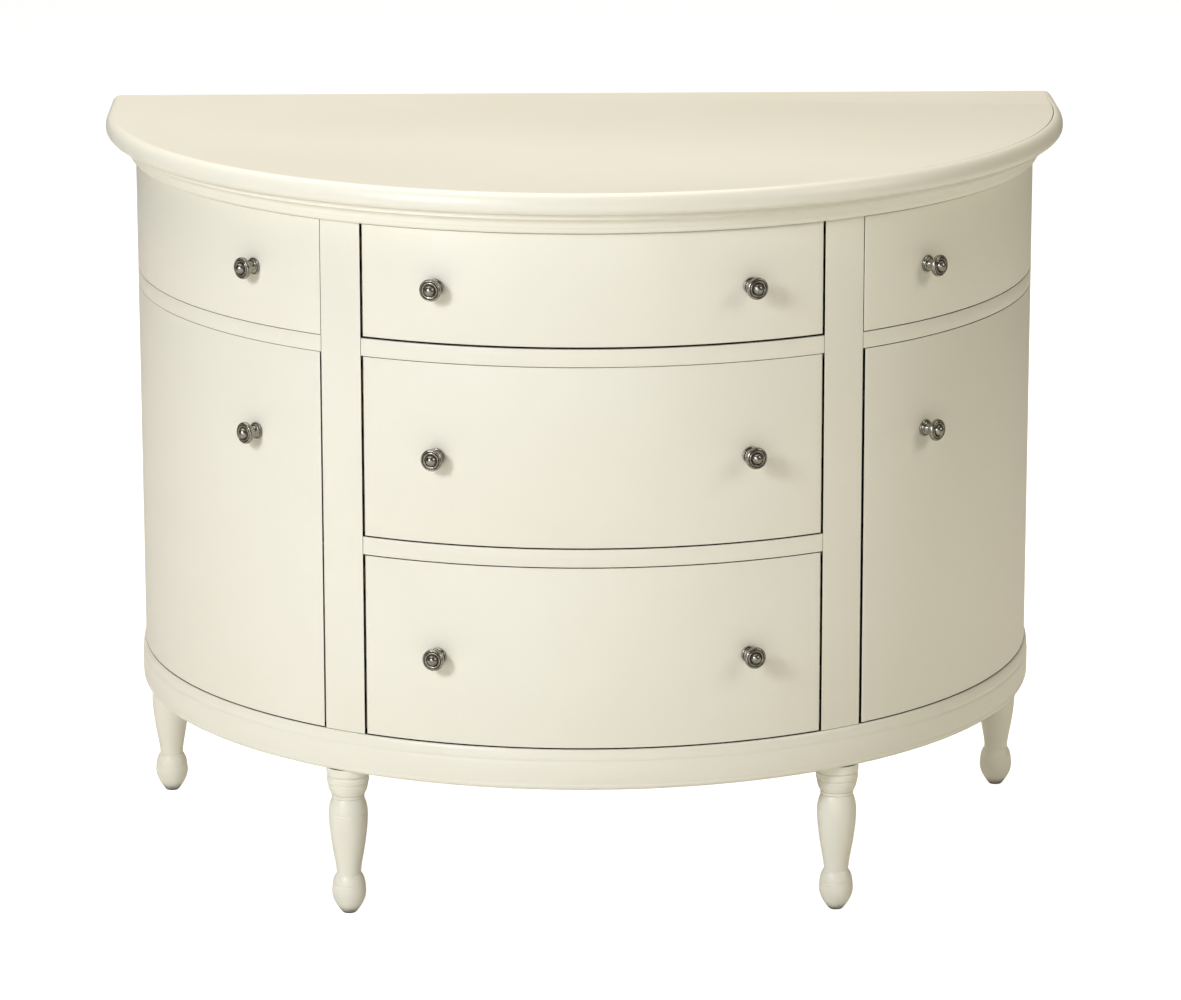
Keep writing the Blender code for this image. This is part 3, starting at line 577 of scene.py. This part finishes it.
turn_each = 1.1
for index, (node, body, drop) in enumerate(knob_places()):
    low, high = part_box(node)
    centre = (low + high) / 2
    heading = math.atan2(centre.x, arc_y - centre.y)
    bm = turn(flowing([(0.0, 0.0), (0.0, 0.0)] + knob_line, steps=4), 48)
    spin_about = Matrix.Rotation(index * turn_each, 3, "Z")
    outwards = Vector((math.sin(heading), -math.cos(heading), 0))
    lay = Vector((0, 0, 1)).rotation_difference(outwards).to_matrix()
    bmesh.ops.rotate(bm, verts=bm.verts, cent=(0, 0, 0), matrix=lay @ spin_about)
    seat = bow(heading, body_radius + seat_gap)
    bmesh.ops.translate(bm, verts=bm.verts, vec=(seat.x, seat.y, centre.z - drop))
    finish_piece(f"ring_{node}", bm, body, [node], crisp=50)
print("knobs:", index + 1)

# %% [markdown]
# ## Boards and dovetails
#
# Nobody sees the drawer boxes until a drawer is pulled, and then they tell how the piece was made. The
# back of a box is joined to its sides with through dovetails, and the sides reach into the front with
# half-blind ones. A tail is a wedge on the end of the side, and the pins of the back fill the gaps
# between the tails. Both are flat outlines, drawn once and pushed through the board's thickness.

# %% Helpers for boards
def plank(outline, through, low, high):
    """A flat outline pushed through a board's thickness, along the named axis."""
    bm = bmesh.new()
    corners = []
    for first, second in outline:
        place = {"x": (low, first, second), "y": (first, low, second), "z": (first, second, low)}[through]
        corners.append(bm.verts.new(place))
    raised = bmesh.ops.extrude_face_region(bm, geom=[bm.faces.new(corners)])
    step = {"x": (1, 0, 0), "y": (0, 1, 0), "z": (0, 0, 1)}[through]
    bmesh.ops.translate(bm, verts=verts_of(raised), vec=Vector(step) * (high - low))
    bmesh.ops.recalc_face_normals(bm, faces=bm.faces)
    return bm


def round_edges(bm, wanted, width, segments=2):
    """Round over the sharp edges that a test picks."""
    edges = [edge for edge in bm.edges
             if len(edge.link_faces) == 2 and edge.calc_face_angle() > arris_angle and wanted(edge)]
    return bevel(bm, edges, width, segments)


# %% Make the drawer boxes
hair = 0.0001
board, lap = 0.012, 0.012
board_round, board_edge = 0.0015, 0.05
tail_slope, tail_pitch, tail_root_share = 1 / 6, 0.042, 0.30


def tail_places(low, high, board):
    """Middle of each tail, and its half height at the root and at the end."""
    count = max(3, round((high - low) / tail_pitch))
    pitch = (high - low) / count
    root = pitch * tail_root_share
    return [(low + pitch * (index + 0.5), root, root + board * tail_slope) for index in range(count)]


def box_side(inner_x, outer_x, rear, low, high, board):
    """A side of the box: tails at the rear end, and tails that reach into the bowed front."""
    inside = body_radius - front_thickness - seat_gap
    front = arc_y - math.sqrt(inside ** 2 - outer_x ** 2)
    tails = tail_places(low, high, board)
    outline = [(front, low), (rear, low)]
    for middle, root, end in tails:
        outline += [(rear, middle - root), (rear + board, middle - end)]
        outline += [(rear + board, middle + end), (rear, middle + root)]
    outline += [(rear, high), (front, high)]
    for middle, root, end in reversed(tails):
        outline += [(front, middle + root), (front - lap, middle + end)]
        outline += [(front - lap, middle - end), (front, middle - root)]
    bm = plank(outline, "x", min(inner_x, outer_x), max(inner_x, outer_x))
    for vert in bm.verts:
        if vert.co.y < front + touching:
            vert.co.y += arc_y - math.sqrt(inside ** 2 - vert.co.x ** 2) - front
    return round_edges(bm, lambda edge: all(vert.co.z > high - touching for vert in edge.verts)
                       and edge.calc_length() > board_edge, board_round)


def box_back(low, high, rear, board):
    """The back of the box, with the pins that fill the gaps between the tails."""
    left, right = low.x + board, high.x - board
    middle_board = plank([(left, low.z), (right, low.z), (right, high.z), (left, high.z)], "y",
                         rear, rear + board)
    parts = [round_edges(middle_board, lambda edge: all(vert.co.z > high.z - touching for vert in edge.verts)
                         and edge.calc_length() > board_edge, board_round)]
    tails = tail_places(low.z, high.z, board)
    feet = [low.z] + [middle + root + hair for middle, root, end in tails]
    feet_end = [low.z] + [middle + end + hair for middle, root, end in tails]
    heads = [middle - root - hair for middle, root, end in tails] + [high.z]
    heads_end = [middle - end - hair for middle, root, end in tails] + [high.z]
    for foot, foot_end, head, head_end in zip(feet, feet_end, heads, heads_end):
        outline = [(rear, foot), (rear + board, foot_end), (rear + board, head_end), (rear, head)]
        parts.append(plank(outline, "x", low.x, left - hair))
        parts.append(plank(outline, "x", right + hair, high.x))
    return join(parts)


boxes = [(f"drawer_{level}", f"{level}_drawer") for level in ("upper", "middle", "lower")]
boxes += [(f"side_drawer_{side}", f"{side}_side_drawer") for side in ("left", "right")]
for name, body in boxes:
    low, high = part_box(f"{name}_frame")
    rear = high.y - board
    back = box_back(low, high, rear, board)
    finish_piece(f"box_back_{name}", back, body, [f"{name}_frame"])
    for side, outer, inner in (("left", low.x, low.x + board), ("right", high.x, high.x - board)):
        bm = box_side(inner, outer, rear, low.z, high.z, board)
        finish_piece(f"box_side_{name}_{side}", bm, body)
low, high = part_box("drawer_lower_frame")
print("tails on a deep side:", len(tail_places(low.z, high.z, board)))

# %% [markdown]
# ## The back
#
# The back stands against a wall and the photograph doesn't show it. A boarded back is usual on such a
# piece: narrow upright boards with a small V where they meet, pinned at the top, the middle and the
# foot. Each board is a chamfered outline pushed up its whole height; the pins are small domes.

# %% Make the boarded back and its pins
low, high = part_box("back_panel")
board_count = 11
pin_height, chamfer = 0.0010, 0.0022
face_y = high.y - pin_height
pin_foot, pin_head, pin_inset = 0.012, 0.014, 0.020
pin_line = [(0, 0.0024), (0.0003, 0.0024), (0.0006, 0.0017), (0.0008, 0.0)]
lay_back = Matrix.Rotation(-math.pi / 2, 3, "X")
width = (high.x - low.x) / board_count
boards, pins = [], []
for index in range(board_count):
    x0 = low.x + index * width + hair
    x1 = x0 + width - 2 * hair
    outline = [(x0, low.y), (x1, low.y), (x1, face_y - chamfer), (x1 - chamfer, face_y)]
    outline += [(x0 + chamfer, face_y), (x0, face_y - chamfer)]
    boards.append(plank(outline, "z", low.z, high.z))
    for height in (low.z + pin_foot, (low.z + high.z) / 2, high.z - pin_head):
        for x in (x0 + pin_inset, x1 - pin_inset):
            pin = turn(pin_line, 16)
            bmesh.ops.rotate(pin, verts=pin.verts, cent=(0, 0, 0), matrix=lay_back)
            bmesh.ops.translate(pin, verts=pin.verts, vec=(x, face_y, height))
            pins.append(pin)
finish_piece("boarded_back", join(boards), "carcase", ["back_panel"])
finish_piece("panel_pins", join(pins), "carcase")
print("back boards:", board_count, "of", round(width * 1000), "mm")

# %% [markdown]
# ## Rear posts
#
# The posts close the body at the back. Their outer face carries on the line of the doors, and below it
# they run down behind the apron to the rear legs, just as the stiles do.

# %% Make the rear posts
post_arris = 0.0008
for side in ("left", "right"):
    low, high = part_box("rear_post_right")
    outline = [(low.x, low.y), (high.x, low.y), (high.x, high.y), (low.x, high.y)]
    upper = plank(outline, "z", apron_top + seat_gap, high.z)
    round_edges(upper, lambda edge: abs(edge.verts[0].co.z - edge.verts[1].co.z) > long_edge,
                post_arris)
    behind = high.x - apron_thickness - seat_gap
    outline = [(low.x, low.y), (behind, low.y), (behind, high.y), (low.x, high.y)]
    bm = join([upper, plank(outline, "z", low.z, apron_top + 2 * seat_gap)])
    finish_piece(f"square_post_{side}", mirror_over(bm) if side == "left" else bm, "carcase",
                 [f"rear_post_{side}"])
print("post", round((high.x - low.x) * 1000), "by", round((high.y - low.y) * 1000), "mm")

# %% [markdown]
# ## Shared effects as node groups
#
# Three effects turn up in several finishes: the faint unevenness of a brushed film, the darkening of
# crevices by ambient occlusion, which paints their shade along with dirt and patina, and the grain of
# wood. Each is built once as a group with named inputs, so a finish only says how much of it there is.

# %% Helpers for node groups
def new_group(name, inputs, outputs):
    """An empty group with its sockets, and its input and output nodes."""
    group = bpy.data.node_groups.new(name, "ShaderNodeTree")
    for label, kind, value in inputs:
        socket = group.interface.new_socket(name=label, in_out="INPUT", socket_type=kind)
        socket.default_value = value
    for label, kind in outputs:
        group.interface.new_socket(name=label, in_out="OUTPUT", socket_type=kind)
    return group, group.nodes.new("NodeGroupInput"), group.nodes.new("NodeGroupOutput")


def add(tree, kind, **settings):
    """Add a node; settings that name a socket fill it, others are properties."""
    node = tree.nodes.new(kind)
    for label, value in settings.items():
        socket = label.replace("_", " ")
        if hasattr(node, label):
            setattr(node, label, value)
        else:
            node.inputs[socket].default_value = value
    return node


def wire(tree, *links):
    """Link nodes; each link names a node and its output, then a node and its input."""
    for start, output, end, socket in links:
        tree.links.new(start.outputs[output], end.inputs[socket])


NUMBER, VECTOR = "NodeSocketFloat", "NodeSocketVector"

# %% Build the brushed film group
film, film_in, film_out = new_group(
    "brushed_film",
    [("Coordinates", VECTOR, (0, 0, 0)), ("Cloud Size", NUMBER, 6.0), ("Grain Size", NUMBER, 900.0)],
    [("Cloud", NUMBER), ("Grain", NUMBER), ("Height", NUMBER)],
)
cloud = add(film, "ShaderNodeTexNoise", Detail=3.0, Roughness=0.55)
grain = add(film, "ShaderNodeTexNoise", Detail=4.0, Roughness=0.6)
stretch = add(film, "ShaderNodeMapping")
stretch.inputs["Scale"].default_value = (0.35, 0.35, 1.6)
strokes = add(film, "ShaderNodeTexNoise", Scale=160.0, Detail=3.0, Roughness=0.5)
mix_height = add(film, "ShaderNodeMath", operation="MULTIPLY_ADD")
mix_height.inputs[1].default_value = 0.6
wire(
    film,
    (film_in, "Coordinates", cloud, "Vector"), (film_in, "Cloud Size", cloud, "Scale"),
    (film_in, "Coordinates", grain, "Vector"), (film_in, "Grain Size", grain, "Scale"),
    (film_in, "Coordinates", stretch, "Vector"), (stretch, "Vector", strokes, "Vector"),
    (strokes, "Fac", mix_height, 0), (grain, "Fac", mix_height, 2),
    (cloud, "Fac", film_out, "Cloud"), (grain, "Fac", film_out, "Grain"),
    (mix_height, "Value", film_out, "Height"),
)

# %% Build the crevice group
crevice, crevice_in, crevice_out = new_group(
    "crevice_mask",
    [("Coordinates", VECTOR, (0, 0, 0)), ("Reach", NUMBER, 0.004), ("Breakup", NUMBER, 0.35)],
    [("Mask", NUMBER)],
)
# The mask is ambient occlusion: it is highest in creases, where shade falls, so what it darkens is painted
# shade as well as dirt.
shade = add(crevice, "ShaderNodeAmbientOcclusion", samples=5)
patchy = add(crevice, "ShaderNodeTexNoise", Scale=40.0, Detail=3.0)
invert = add(crevice, "ShaderNodeMath", operation="SUBTRACT")
invert.inputs[0].default_value = 1.0
thin = add(crevice, "ShaderNodeMath", operation="MULTIPLY")
soften = add(crevice, "ShaderNodeMath", operation="SUBTRACT", use_clamp=True)
wire(
    crevice,
    (crevice_in, "Reach", shade, "Distance"), (shade, "AO", invert, 1),
    (crevice_in, "Coordinates", patchy, "Vector"), (patchy, "Fac", thin, 0),
    (crevice_in, "Breakup", thin, 1), (invert, "Value", soften, 0), (thin, "Value", soften, 1),
    (soften, "Value", crevice_out, "Mask"),
)

# %% Build the wood grain group
wood, wood_in, wood_out = new_group(
    "board_grain",
    [("Coordinates", VECTOR, (0, 0, 0)), ("Ring Size", NUMBER, 9.0)],
    [("Rings", NUMBER), ("Fibres", NUMBER)],
)
drawn_out = add(wood, "ShaderNodeMapping")
drawn_out.inputs["Scale"].default_value = (0.12, 1.0, 1.0)
rings = add(wood, "ShaderNodeTexWave", wave_type="BANDS", bands_direction="Y", Distortion=9.0,
            Detail=4.0, Detail_Scale=0.7, Detail_Roughness=0.55)
long_scale = add(wood, "ShaderNodeMapping")
long_scale.inputs["Scale"].default_value = (0.03, 1.0, 1.0)
fibres = add(wood, "ShaderNodeTexNoise", Scale=420.0, Detail=4.0, Roughness=0.65)
wire(
    wood,
    (wood_in, "Coordinates", drawn_out, "Vector"), (drawn_out, "Vector", rings, "Vector"),
    (wood_in, "Ring Size", rings, "Scale"), (wood_in, "Coordinates", long_scale, "Vector"),
    (long_scale, "Vector", fibres, "Vector"), (rings, "Fac", wood_out, "Rings"),
    (fibres, "Fac", wood_out, "Fibres"),
)
print("groups:", [group.name for group in bpy.data.node_groups])

# %% [markdown]
# ## Finishes
#
# The ivory paint is the whole look: a warm white with a soft sheen, very slightly cloudy, with a fine
# texture that breaks up its highlights, and a thin brown-grey line wherever two parts meet. The line
# is glaze and dirt together with painted shade, so it comes from the occlusion of the crevice mask,
# where shade falls, rather than from drawn lines. Deep in a joint a second mask with a longer reach
# paints near-black shade and takes the sheen away.

# %% Helpers for materials
def new_material(name):
    """A material with its Principled shader and Object coordinates."""
    material = bpy.data.materials.new(name)
    material.use_nodes = True
    tree = material.node_tree
    shader = tree.nodes["Principled BSDF"]
    coordinates = tree.nodes.new("ShaderNodeTexCoord")
    return material, tree, shader, coordinates.outputs["Object"]


def place_group(tree, group, coordinates, **values):
    """Place a shared group in a material, with its own values."""
    node = tree.nodes.new("ShaderNodeGroup")
    node.node_tree = group
    tree.links.new(coordinates, node.inputs["Coordinates"])
    for label, value in values.items():
        node.inputs[label.replace("_", " ")].default_value = value
    return node


def mix_colours(tree, factor, first, second):
    """Mix two colours, given as values or sockets."""
    node = tree.nodes.new("ShaderNodeMix")
    node.data_type = "RGBA"
    for socket, value in ((node.inputs[6], first), (node.inputs[7], second)):
        if isinstance(value, bpy.types.NodeSocket):
            tree.links.new(value, socket)
        else:
            socket.default_value = value
    tree.links.new(factor, node.inputs[0])
    return node.outputs[2]


def remap(tree, value, low, high, new_low, new_high):
    """Stretch a value from one range to another."""
    node = tree.nodes.new("ShaderNodeMapRange")
    for socket, number in zip(node.inputs[1:5], (low, high, new_low, new_high)):
        socket.default_value = number
    tree.links.new(value, node.inputs[0])
    return node.outputs[0]


def roughen(tree, shader, height, strength, distance):
    """Let a height break up the surface's highlights."""
    bump = add(tree, "ShaderNodeBump", Strength=strength, Distance=distance)
    tree.links.new(height, bump.inputs["Height"])
    tree.links.new(bump.outputs["Normal"], shader.inputs["Normal"])


# %% Mix the ivory paint
def ivory_finish(name, light, deep, sheen, line_strength, reach=0.0030, gap_start=0.58):
    """Satin paint in two close tones, with dirt and painted shade in its crevices and painted dark shade
    deep in its joints.
    """
    gap_range, deepest, gloss = 0.22, 0.95, 0.5
    material, tree, shader, place = new_material(name)
    surface = place_group(tree, film, place, Cloud_Size=3.5, Grain_Size=700.0)
    cloudy = remap(tree, surface.outputs["Cloud"], 0.35, 0.65, 0.0, 1.0)
    colour = mix_colours(tree, cloudy, light, deep)
    # Glaze and dirt with painted shade: occlusion turns the paint brown where shade falls in creases and
    # joints.
    dirt_and_shade = place_group(tree, crevice, place, Reach=reach, Breakup=0.25)
    amount = remap(tree, dirt_and_shade.outputs["Mask"], 0.10, 0.75, 0.0, line_strength)
    colour = mix_colours(tree, amount, colour, (0.33, 0.25, 0.15, 1.0))
    # Painted shade: deep in a joint a long occlusion reach turns the paint near-black, and below it the same
    # mask takes the sheen away.
    gap = place_group(tree, crevice, place, Reach=0.020, Breakup=0.10)
    painted_gap_shade = remap(tree, gap.outputs["Mask"], gap_start, gap_start + gap_range, 0.0, deepest)
    colour = mix_colours(tree, painted_gap_shade, colour, (0.040, 0.028, 0.016, 1.0))
    tree.links.new(colour, shader.inputs["Base Color"])
    rough = remap(tree, surface.outputs["Grain"], 0.3, 0.7, sheen - 0.03, sheen + 0.04)
    tree.links.new(rough, shader.inputs["Roughness"])
    roughen(tree, shader, surface.outputs["Height"], 0.10, 0.0004)
    tree.links.new(remap(tree, painted_gap_shade, 0.0, deepest, gloss, 0.0), shader.inputs["Specular IOR Level"])
    return material


ivory_light, ivory_deep = (0.85, 0.835, 0.73, 1.0), (0.835, 0.815, 0.705, 1.0)
ivory = ivory_finish("ivory_paint", ivory_light, ivory_deep, 0.36, 0.45, gap_start=0.50)
# For the cornice and the rounded edge: stronger, tighter brown lines in the creases, glaze together with
# painted shade.
glaze_and_shade_paint = ivory_finish("ivory_glazed", ivory_light, ivory_deep, 0.36, 0.70, 0.0022)
inside_paint = ivory_finish("ivory_inside", (0.82, 0.795, 0.67, 1.0), (0.80, 0.77, 0.64, 1.0), 0.48, 0.5)

# %% Mix the pewter
pewter, tree, shader, place = new_material("aged_pewter")
surface = place_group(tree, film, place, Cloud_Size=240.0, Grain_Size=1500.0)
# Patina in the grooves; the same occlusion also paints shade at the base, the neck and under the rim.
dirt_and_shade = place_group(tree, crevice, place, Reach=0.0030, Breakup=0.3)
mottled = remap(tree, surface.outputs["Cloud"], 0.35, 0.65, 0.0, 1.0)
metal = mix_colours(tree, mottled, (0.40, 0.385, 0.335, 1.0), (0.23, 0.22, 0.185, 1.0))
amount = remap(tree, dirt_and_shade.outputs["Mask"], 0.05, 0.45, 0.0, 0.95)
metal = mix_colours(tree, amount, metal, (0.045, 0.040, 0.028, 1.0))
tree.links.new(metal, shader.inputs["Base Color"])
tree.links.new(remap(tree, amount, 0.0, 1.0, 0.27, 0.62), shader.inputs["Roughness"])
tree.links.new(remap(tree, amount, 0.0, 1.0, 0.95, 0.5), shader.inputs["Metallic"])
roughen(tree, shader, surface.outputs["Height"], 0.25, 0.0003)


# %% Mix the bare wood, with the grain along X or Y
def wood_finish(name, turn_degrees):
    """Pale waxed softwood with its grain along one direction."""
    material, tree, shader, place = new_material(name)
    mapping = tree.nodes.new("ShaderNodeMapping")
    mapping.inputs["Rotation"].default_value = (0, 0, math.radians(turn_degrees))
    tree.links.new(place, mapping.inputs["Vector"])
    grained = place_group(tree, wood, mapping.outputs["Vector"], Ring_Size=11.0)
    early = mix_colours(tree, grained.outputs["Rings"], (0.60, 0.42, 0.245, 1.0), (0.54, 0.36, 0.20, 1.0))
    flecks = remap(tree, grained.outputs["Fibres"], 0.35, 0.7, 0.0, 0.35)
    colour = mix_colours(tree, flecks, early, (0.36, 0.22, 0.11, 1.0))
    # Dirt and painted shade: occlusion darkens the wood in inner corners and at the dovetails.
    dirt_and_shade = place_group(tree, crevice, place, Reach=0.006, Breakup=0.3)
    amount = remap(tree, dirt_and_shade.outputs["Mask"], 0.1, 0.8, 0.0, 0.5)
    colour = mix_colours(tree, amount, colour, (0.16, 0.10, 0.05, 1.0))
    tree.links.new(colour, shader.inputs["Base Color"])
    tree.links.new(remap(tree, grained.outputs["Fibres"], 0.3, 0.7, 0.50, 0.68), shader.inputs["Roughness"])
    roughen(tree, shader, grained.outputs["Fibres"], 0.25, 0.0004)
    return material


wood_across = wood_finish("softwood_across", 0)
wood_deep = wood_finish("softwood_deep", 90)


# %% Mix the small metals
def metal_finish(name, bright, dull, rough):
    """A plain metal with light tarnish."""
    material, tree, shader, place = new_material(name)
    surface = place_group(tree, film, place, Cloud_Size=90.0, Grain_Size=1200.0)
    tarnish = remap(tree, surface.outputs["Cloud"], 0.35, 0.7, 0.0, 1.0)
    tree.links.new(mix_colours(tree, tarnish, bright, dull), shader.inputs["Base Color"])
    tree.links.new(remap(tree, surface.outputs["Grain"], 0.3, 0.7, rough, rough + 0.15),
                   shader.inputs["Roughness"])
    shader.inputs["Metallic"].default_value = 1.0
    return material


brass = metal_finish("pivot_brass", (0.72, 0.53, 0.22, 1.0), (0.48, 0.33, 0.13, 1.0), 0.28)
steel = metal_finish("catch_steel", (0.55, 0.55, 0.54, 1.0), (0.36, 0.36, 0.36, 1.0), 0.32)

# %% Give every piece its finish
by_piece = {
    "ring_": pewter, "box_side": wood_deep, "box_back": wood_across, "boarded_back": inside_paint,
    "panel_pins": steel, "cove_cornice": glaze_and_shade_paint, "rounded_edge": glaze_and_shade_paint,
}
for piece in made:
    finish = next((look for start, look in by_piece.items() if piece.name.startswith(start)), ivory)
    piece.data.materials.clear()
    piece.data.materials.append(finish)
by_node = {
    "bottom_board": inside_paint, "partition": inside_paint, "shelf": inside_paint,
    "dust_board": wood_across, "side_deck": wood_deep, "bottom": wood_across,
    "door_pivot": brass, "door_catch": steel,
}
for node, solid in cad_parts.items():
    for word, material in by_node.items():
        if word in node:
            for place_in in solid.material_slots:
                place_in.material = material
            break
print("new pieces:", len(made))

# %% [markdown]
# ## Floor, light and camera
#
# The photograph is a cut-out on white. Its shadows beside the knobs show a small light low on the left,
# and the even top shows a large one overhead. A low strip in front and a warm light on the right fill
# in the rest, each with the strength that matches the paint from door to door. A pale floor stands in
# for the white sheet. The camera was found by fitting the half-round plan to the joint lines in the
# photograph: it is far off, with a long lens, and looks down by fourteen degrees.

# %% Lay the floor
floor_half, floor_drop = 30, 0.0005
bm = bmesh.new()
bmesh.ops.create_grid(bm, x_segments=1, y_segments=1, size=floor_half)
sheet = bpy.data.meshes.new("floor")
bm.to_mesh(sheet)
bm.free()
floor = bpy.data.objects.new("floor", sheet)
bpy.context.scene.collection.objects.link(floor)
floor.location.z = -floor_drop
floor_material = bpy.data.materials.new("white_floor")
floor_material.use_nodes = True
floor_shader = floor_material.node_tree.nodes["Principled BSDF"]
floor_shader.inputs["Base Color"].default_value = (0.84, 0.81, 0.75, 1.0)
floor_shader.inputs["Roughness"].default_value = 0.9
floor_shader.inputs["Specular IOR Level"].default_value = 0.1
floor_shader.inputs["Emission Color"].default_value = (0.98, 0.99, 1.0, 1.0)
seen = floor_material.node_tree.nodes.new("ShaderNodeLightPath")
lift = remap(floor_material.node_tree, seen.outputs["Is Camera Ray"], 0.0, 1.0, 0.0, 0.90)
floor_material.node_tree.links.new(lift, floor_shader.inputs["Emission Strength"])
floor.data.materials.append(floor_material)


# %% Set the lights
def soft_light(name, place, aim, size, power, colour=(1, 1, 1)):
    """A rectangular area light that looks at a point."""
    lamp = bpy.data.lights.new(name, "AREA")
    lamp.shape = "RECTANGLE"
    lamp.size, lamp.size_y = size
    lamp.energy = power
    lamp.color = colour
    holder = bpy.data.objects.new(name, lamp)
    bpy.context.scene.collection.objects.link(holder)
    holder.location = place
    holder.rotation_euler = (Vector(aim) - Vector(place)).to_track_quat("-Z", "Y").to_euler()


middle = Vector((0, 0, 0.5))


def from_side(azimuth, elevation, distance):
    """A place seen from the middle of the piece; azimuth 0 is straight ahead, minus is left."""
    turn_by, rise = math.radians(azimuth), math.radians(elevation)
    flat = Vector((math.sin(turn_by), -math.cos(turn_by), 0)) * math.cos(rise)
    return middle + (flat + Vector((0, 0, math.sin(rise)))) * distance


soft_light("key", from_side(-38, 25, 4.2), middle, (1.0, 1.0), 86, (0.926, 0.947, 1.0))
soft_light("overhead", Vector((-0.6, 1.0, 4.2)), middle, (4.0, 4.0), 162, (1.0, 0.936, 0.863))
soft_light("low_front", from_side(-12, 4, 5.0), middle, (5.0, 1.2), 46)
soft_light("right", from_side(66, 30, 5.0), middle, (2.0, 2.0), 56, (1.0, 0.93, 0.78))
world = bpy.data.worlds.new("studio")
bpy.context.scene.world = world
world.use_nodes = True
world.node_tree.nodes["Background"].inputs["Color"].default_value = (1.0, 1.0, 0.80, 1)
world.node_tree.nodes["Background"].inputs["Strength"].default_value = 0.05
bpy.context.scene.view_settings.view_transform = "Standard"

# %% Place the camera
pitch, yaw, roll = 0.2437, 0.0206, -0.0012
film_width, focal_pixels, frame_pixels = 36, 5471.0, 1181
camera_x, camera_to_bow, camera_height = -0.13334, 6.81661, 2.09828
forward = Vector((math.sin(yaw) * math.cos(pitch), math.cos(yaw) * math.cos(pitch), -math.sin(pitch)))
right = Vector((math.cos(yaw), -math.sin(yaw), 0))
upward = right.cross(forward)
right_rolled = math.cos(roll) * right + math.sin(roll) * upward
up_rolled = -math.sin(roll) * right + math.cos(roll) * upward
lens = bpy.data.cameras.new("camera")
lens.lens = focal_pixels / frame_pixels * film_width
lens.sensor_width = film_width
lens.clip_end = 60
camera = bpy.data.objects.new("camera", lens)
bpy.context.scene.collection.objects.link(camera)
stand = Matrix((right_rolled, up_rolled, -forward)).transposed().to_4x4()
stand.translation = Vector((camera_x, arc_y - camera_to_bow, camera_height))
camera.matrix_world = stand
bpy.context.scene.camera = camera
print("lens", round(lens.lens, 1), "mm at", tuple(round(value, 3) for value in camera.location))
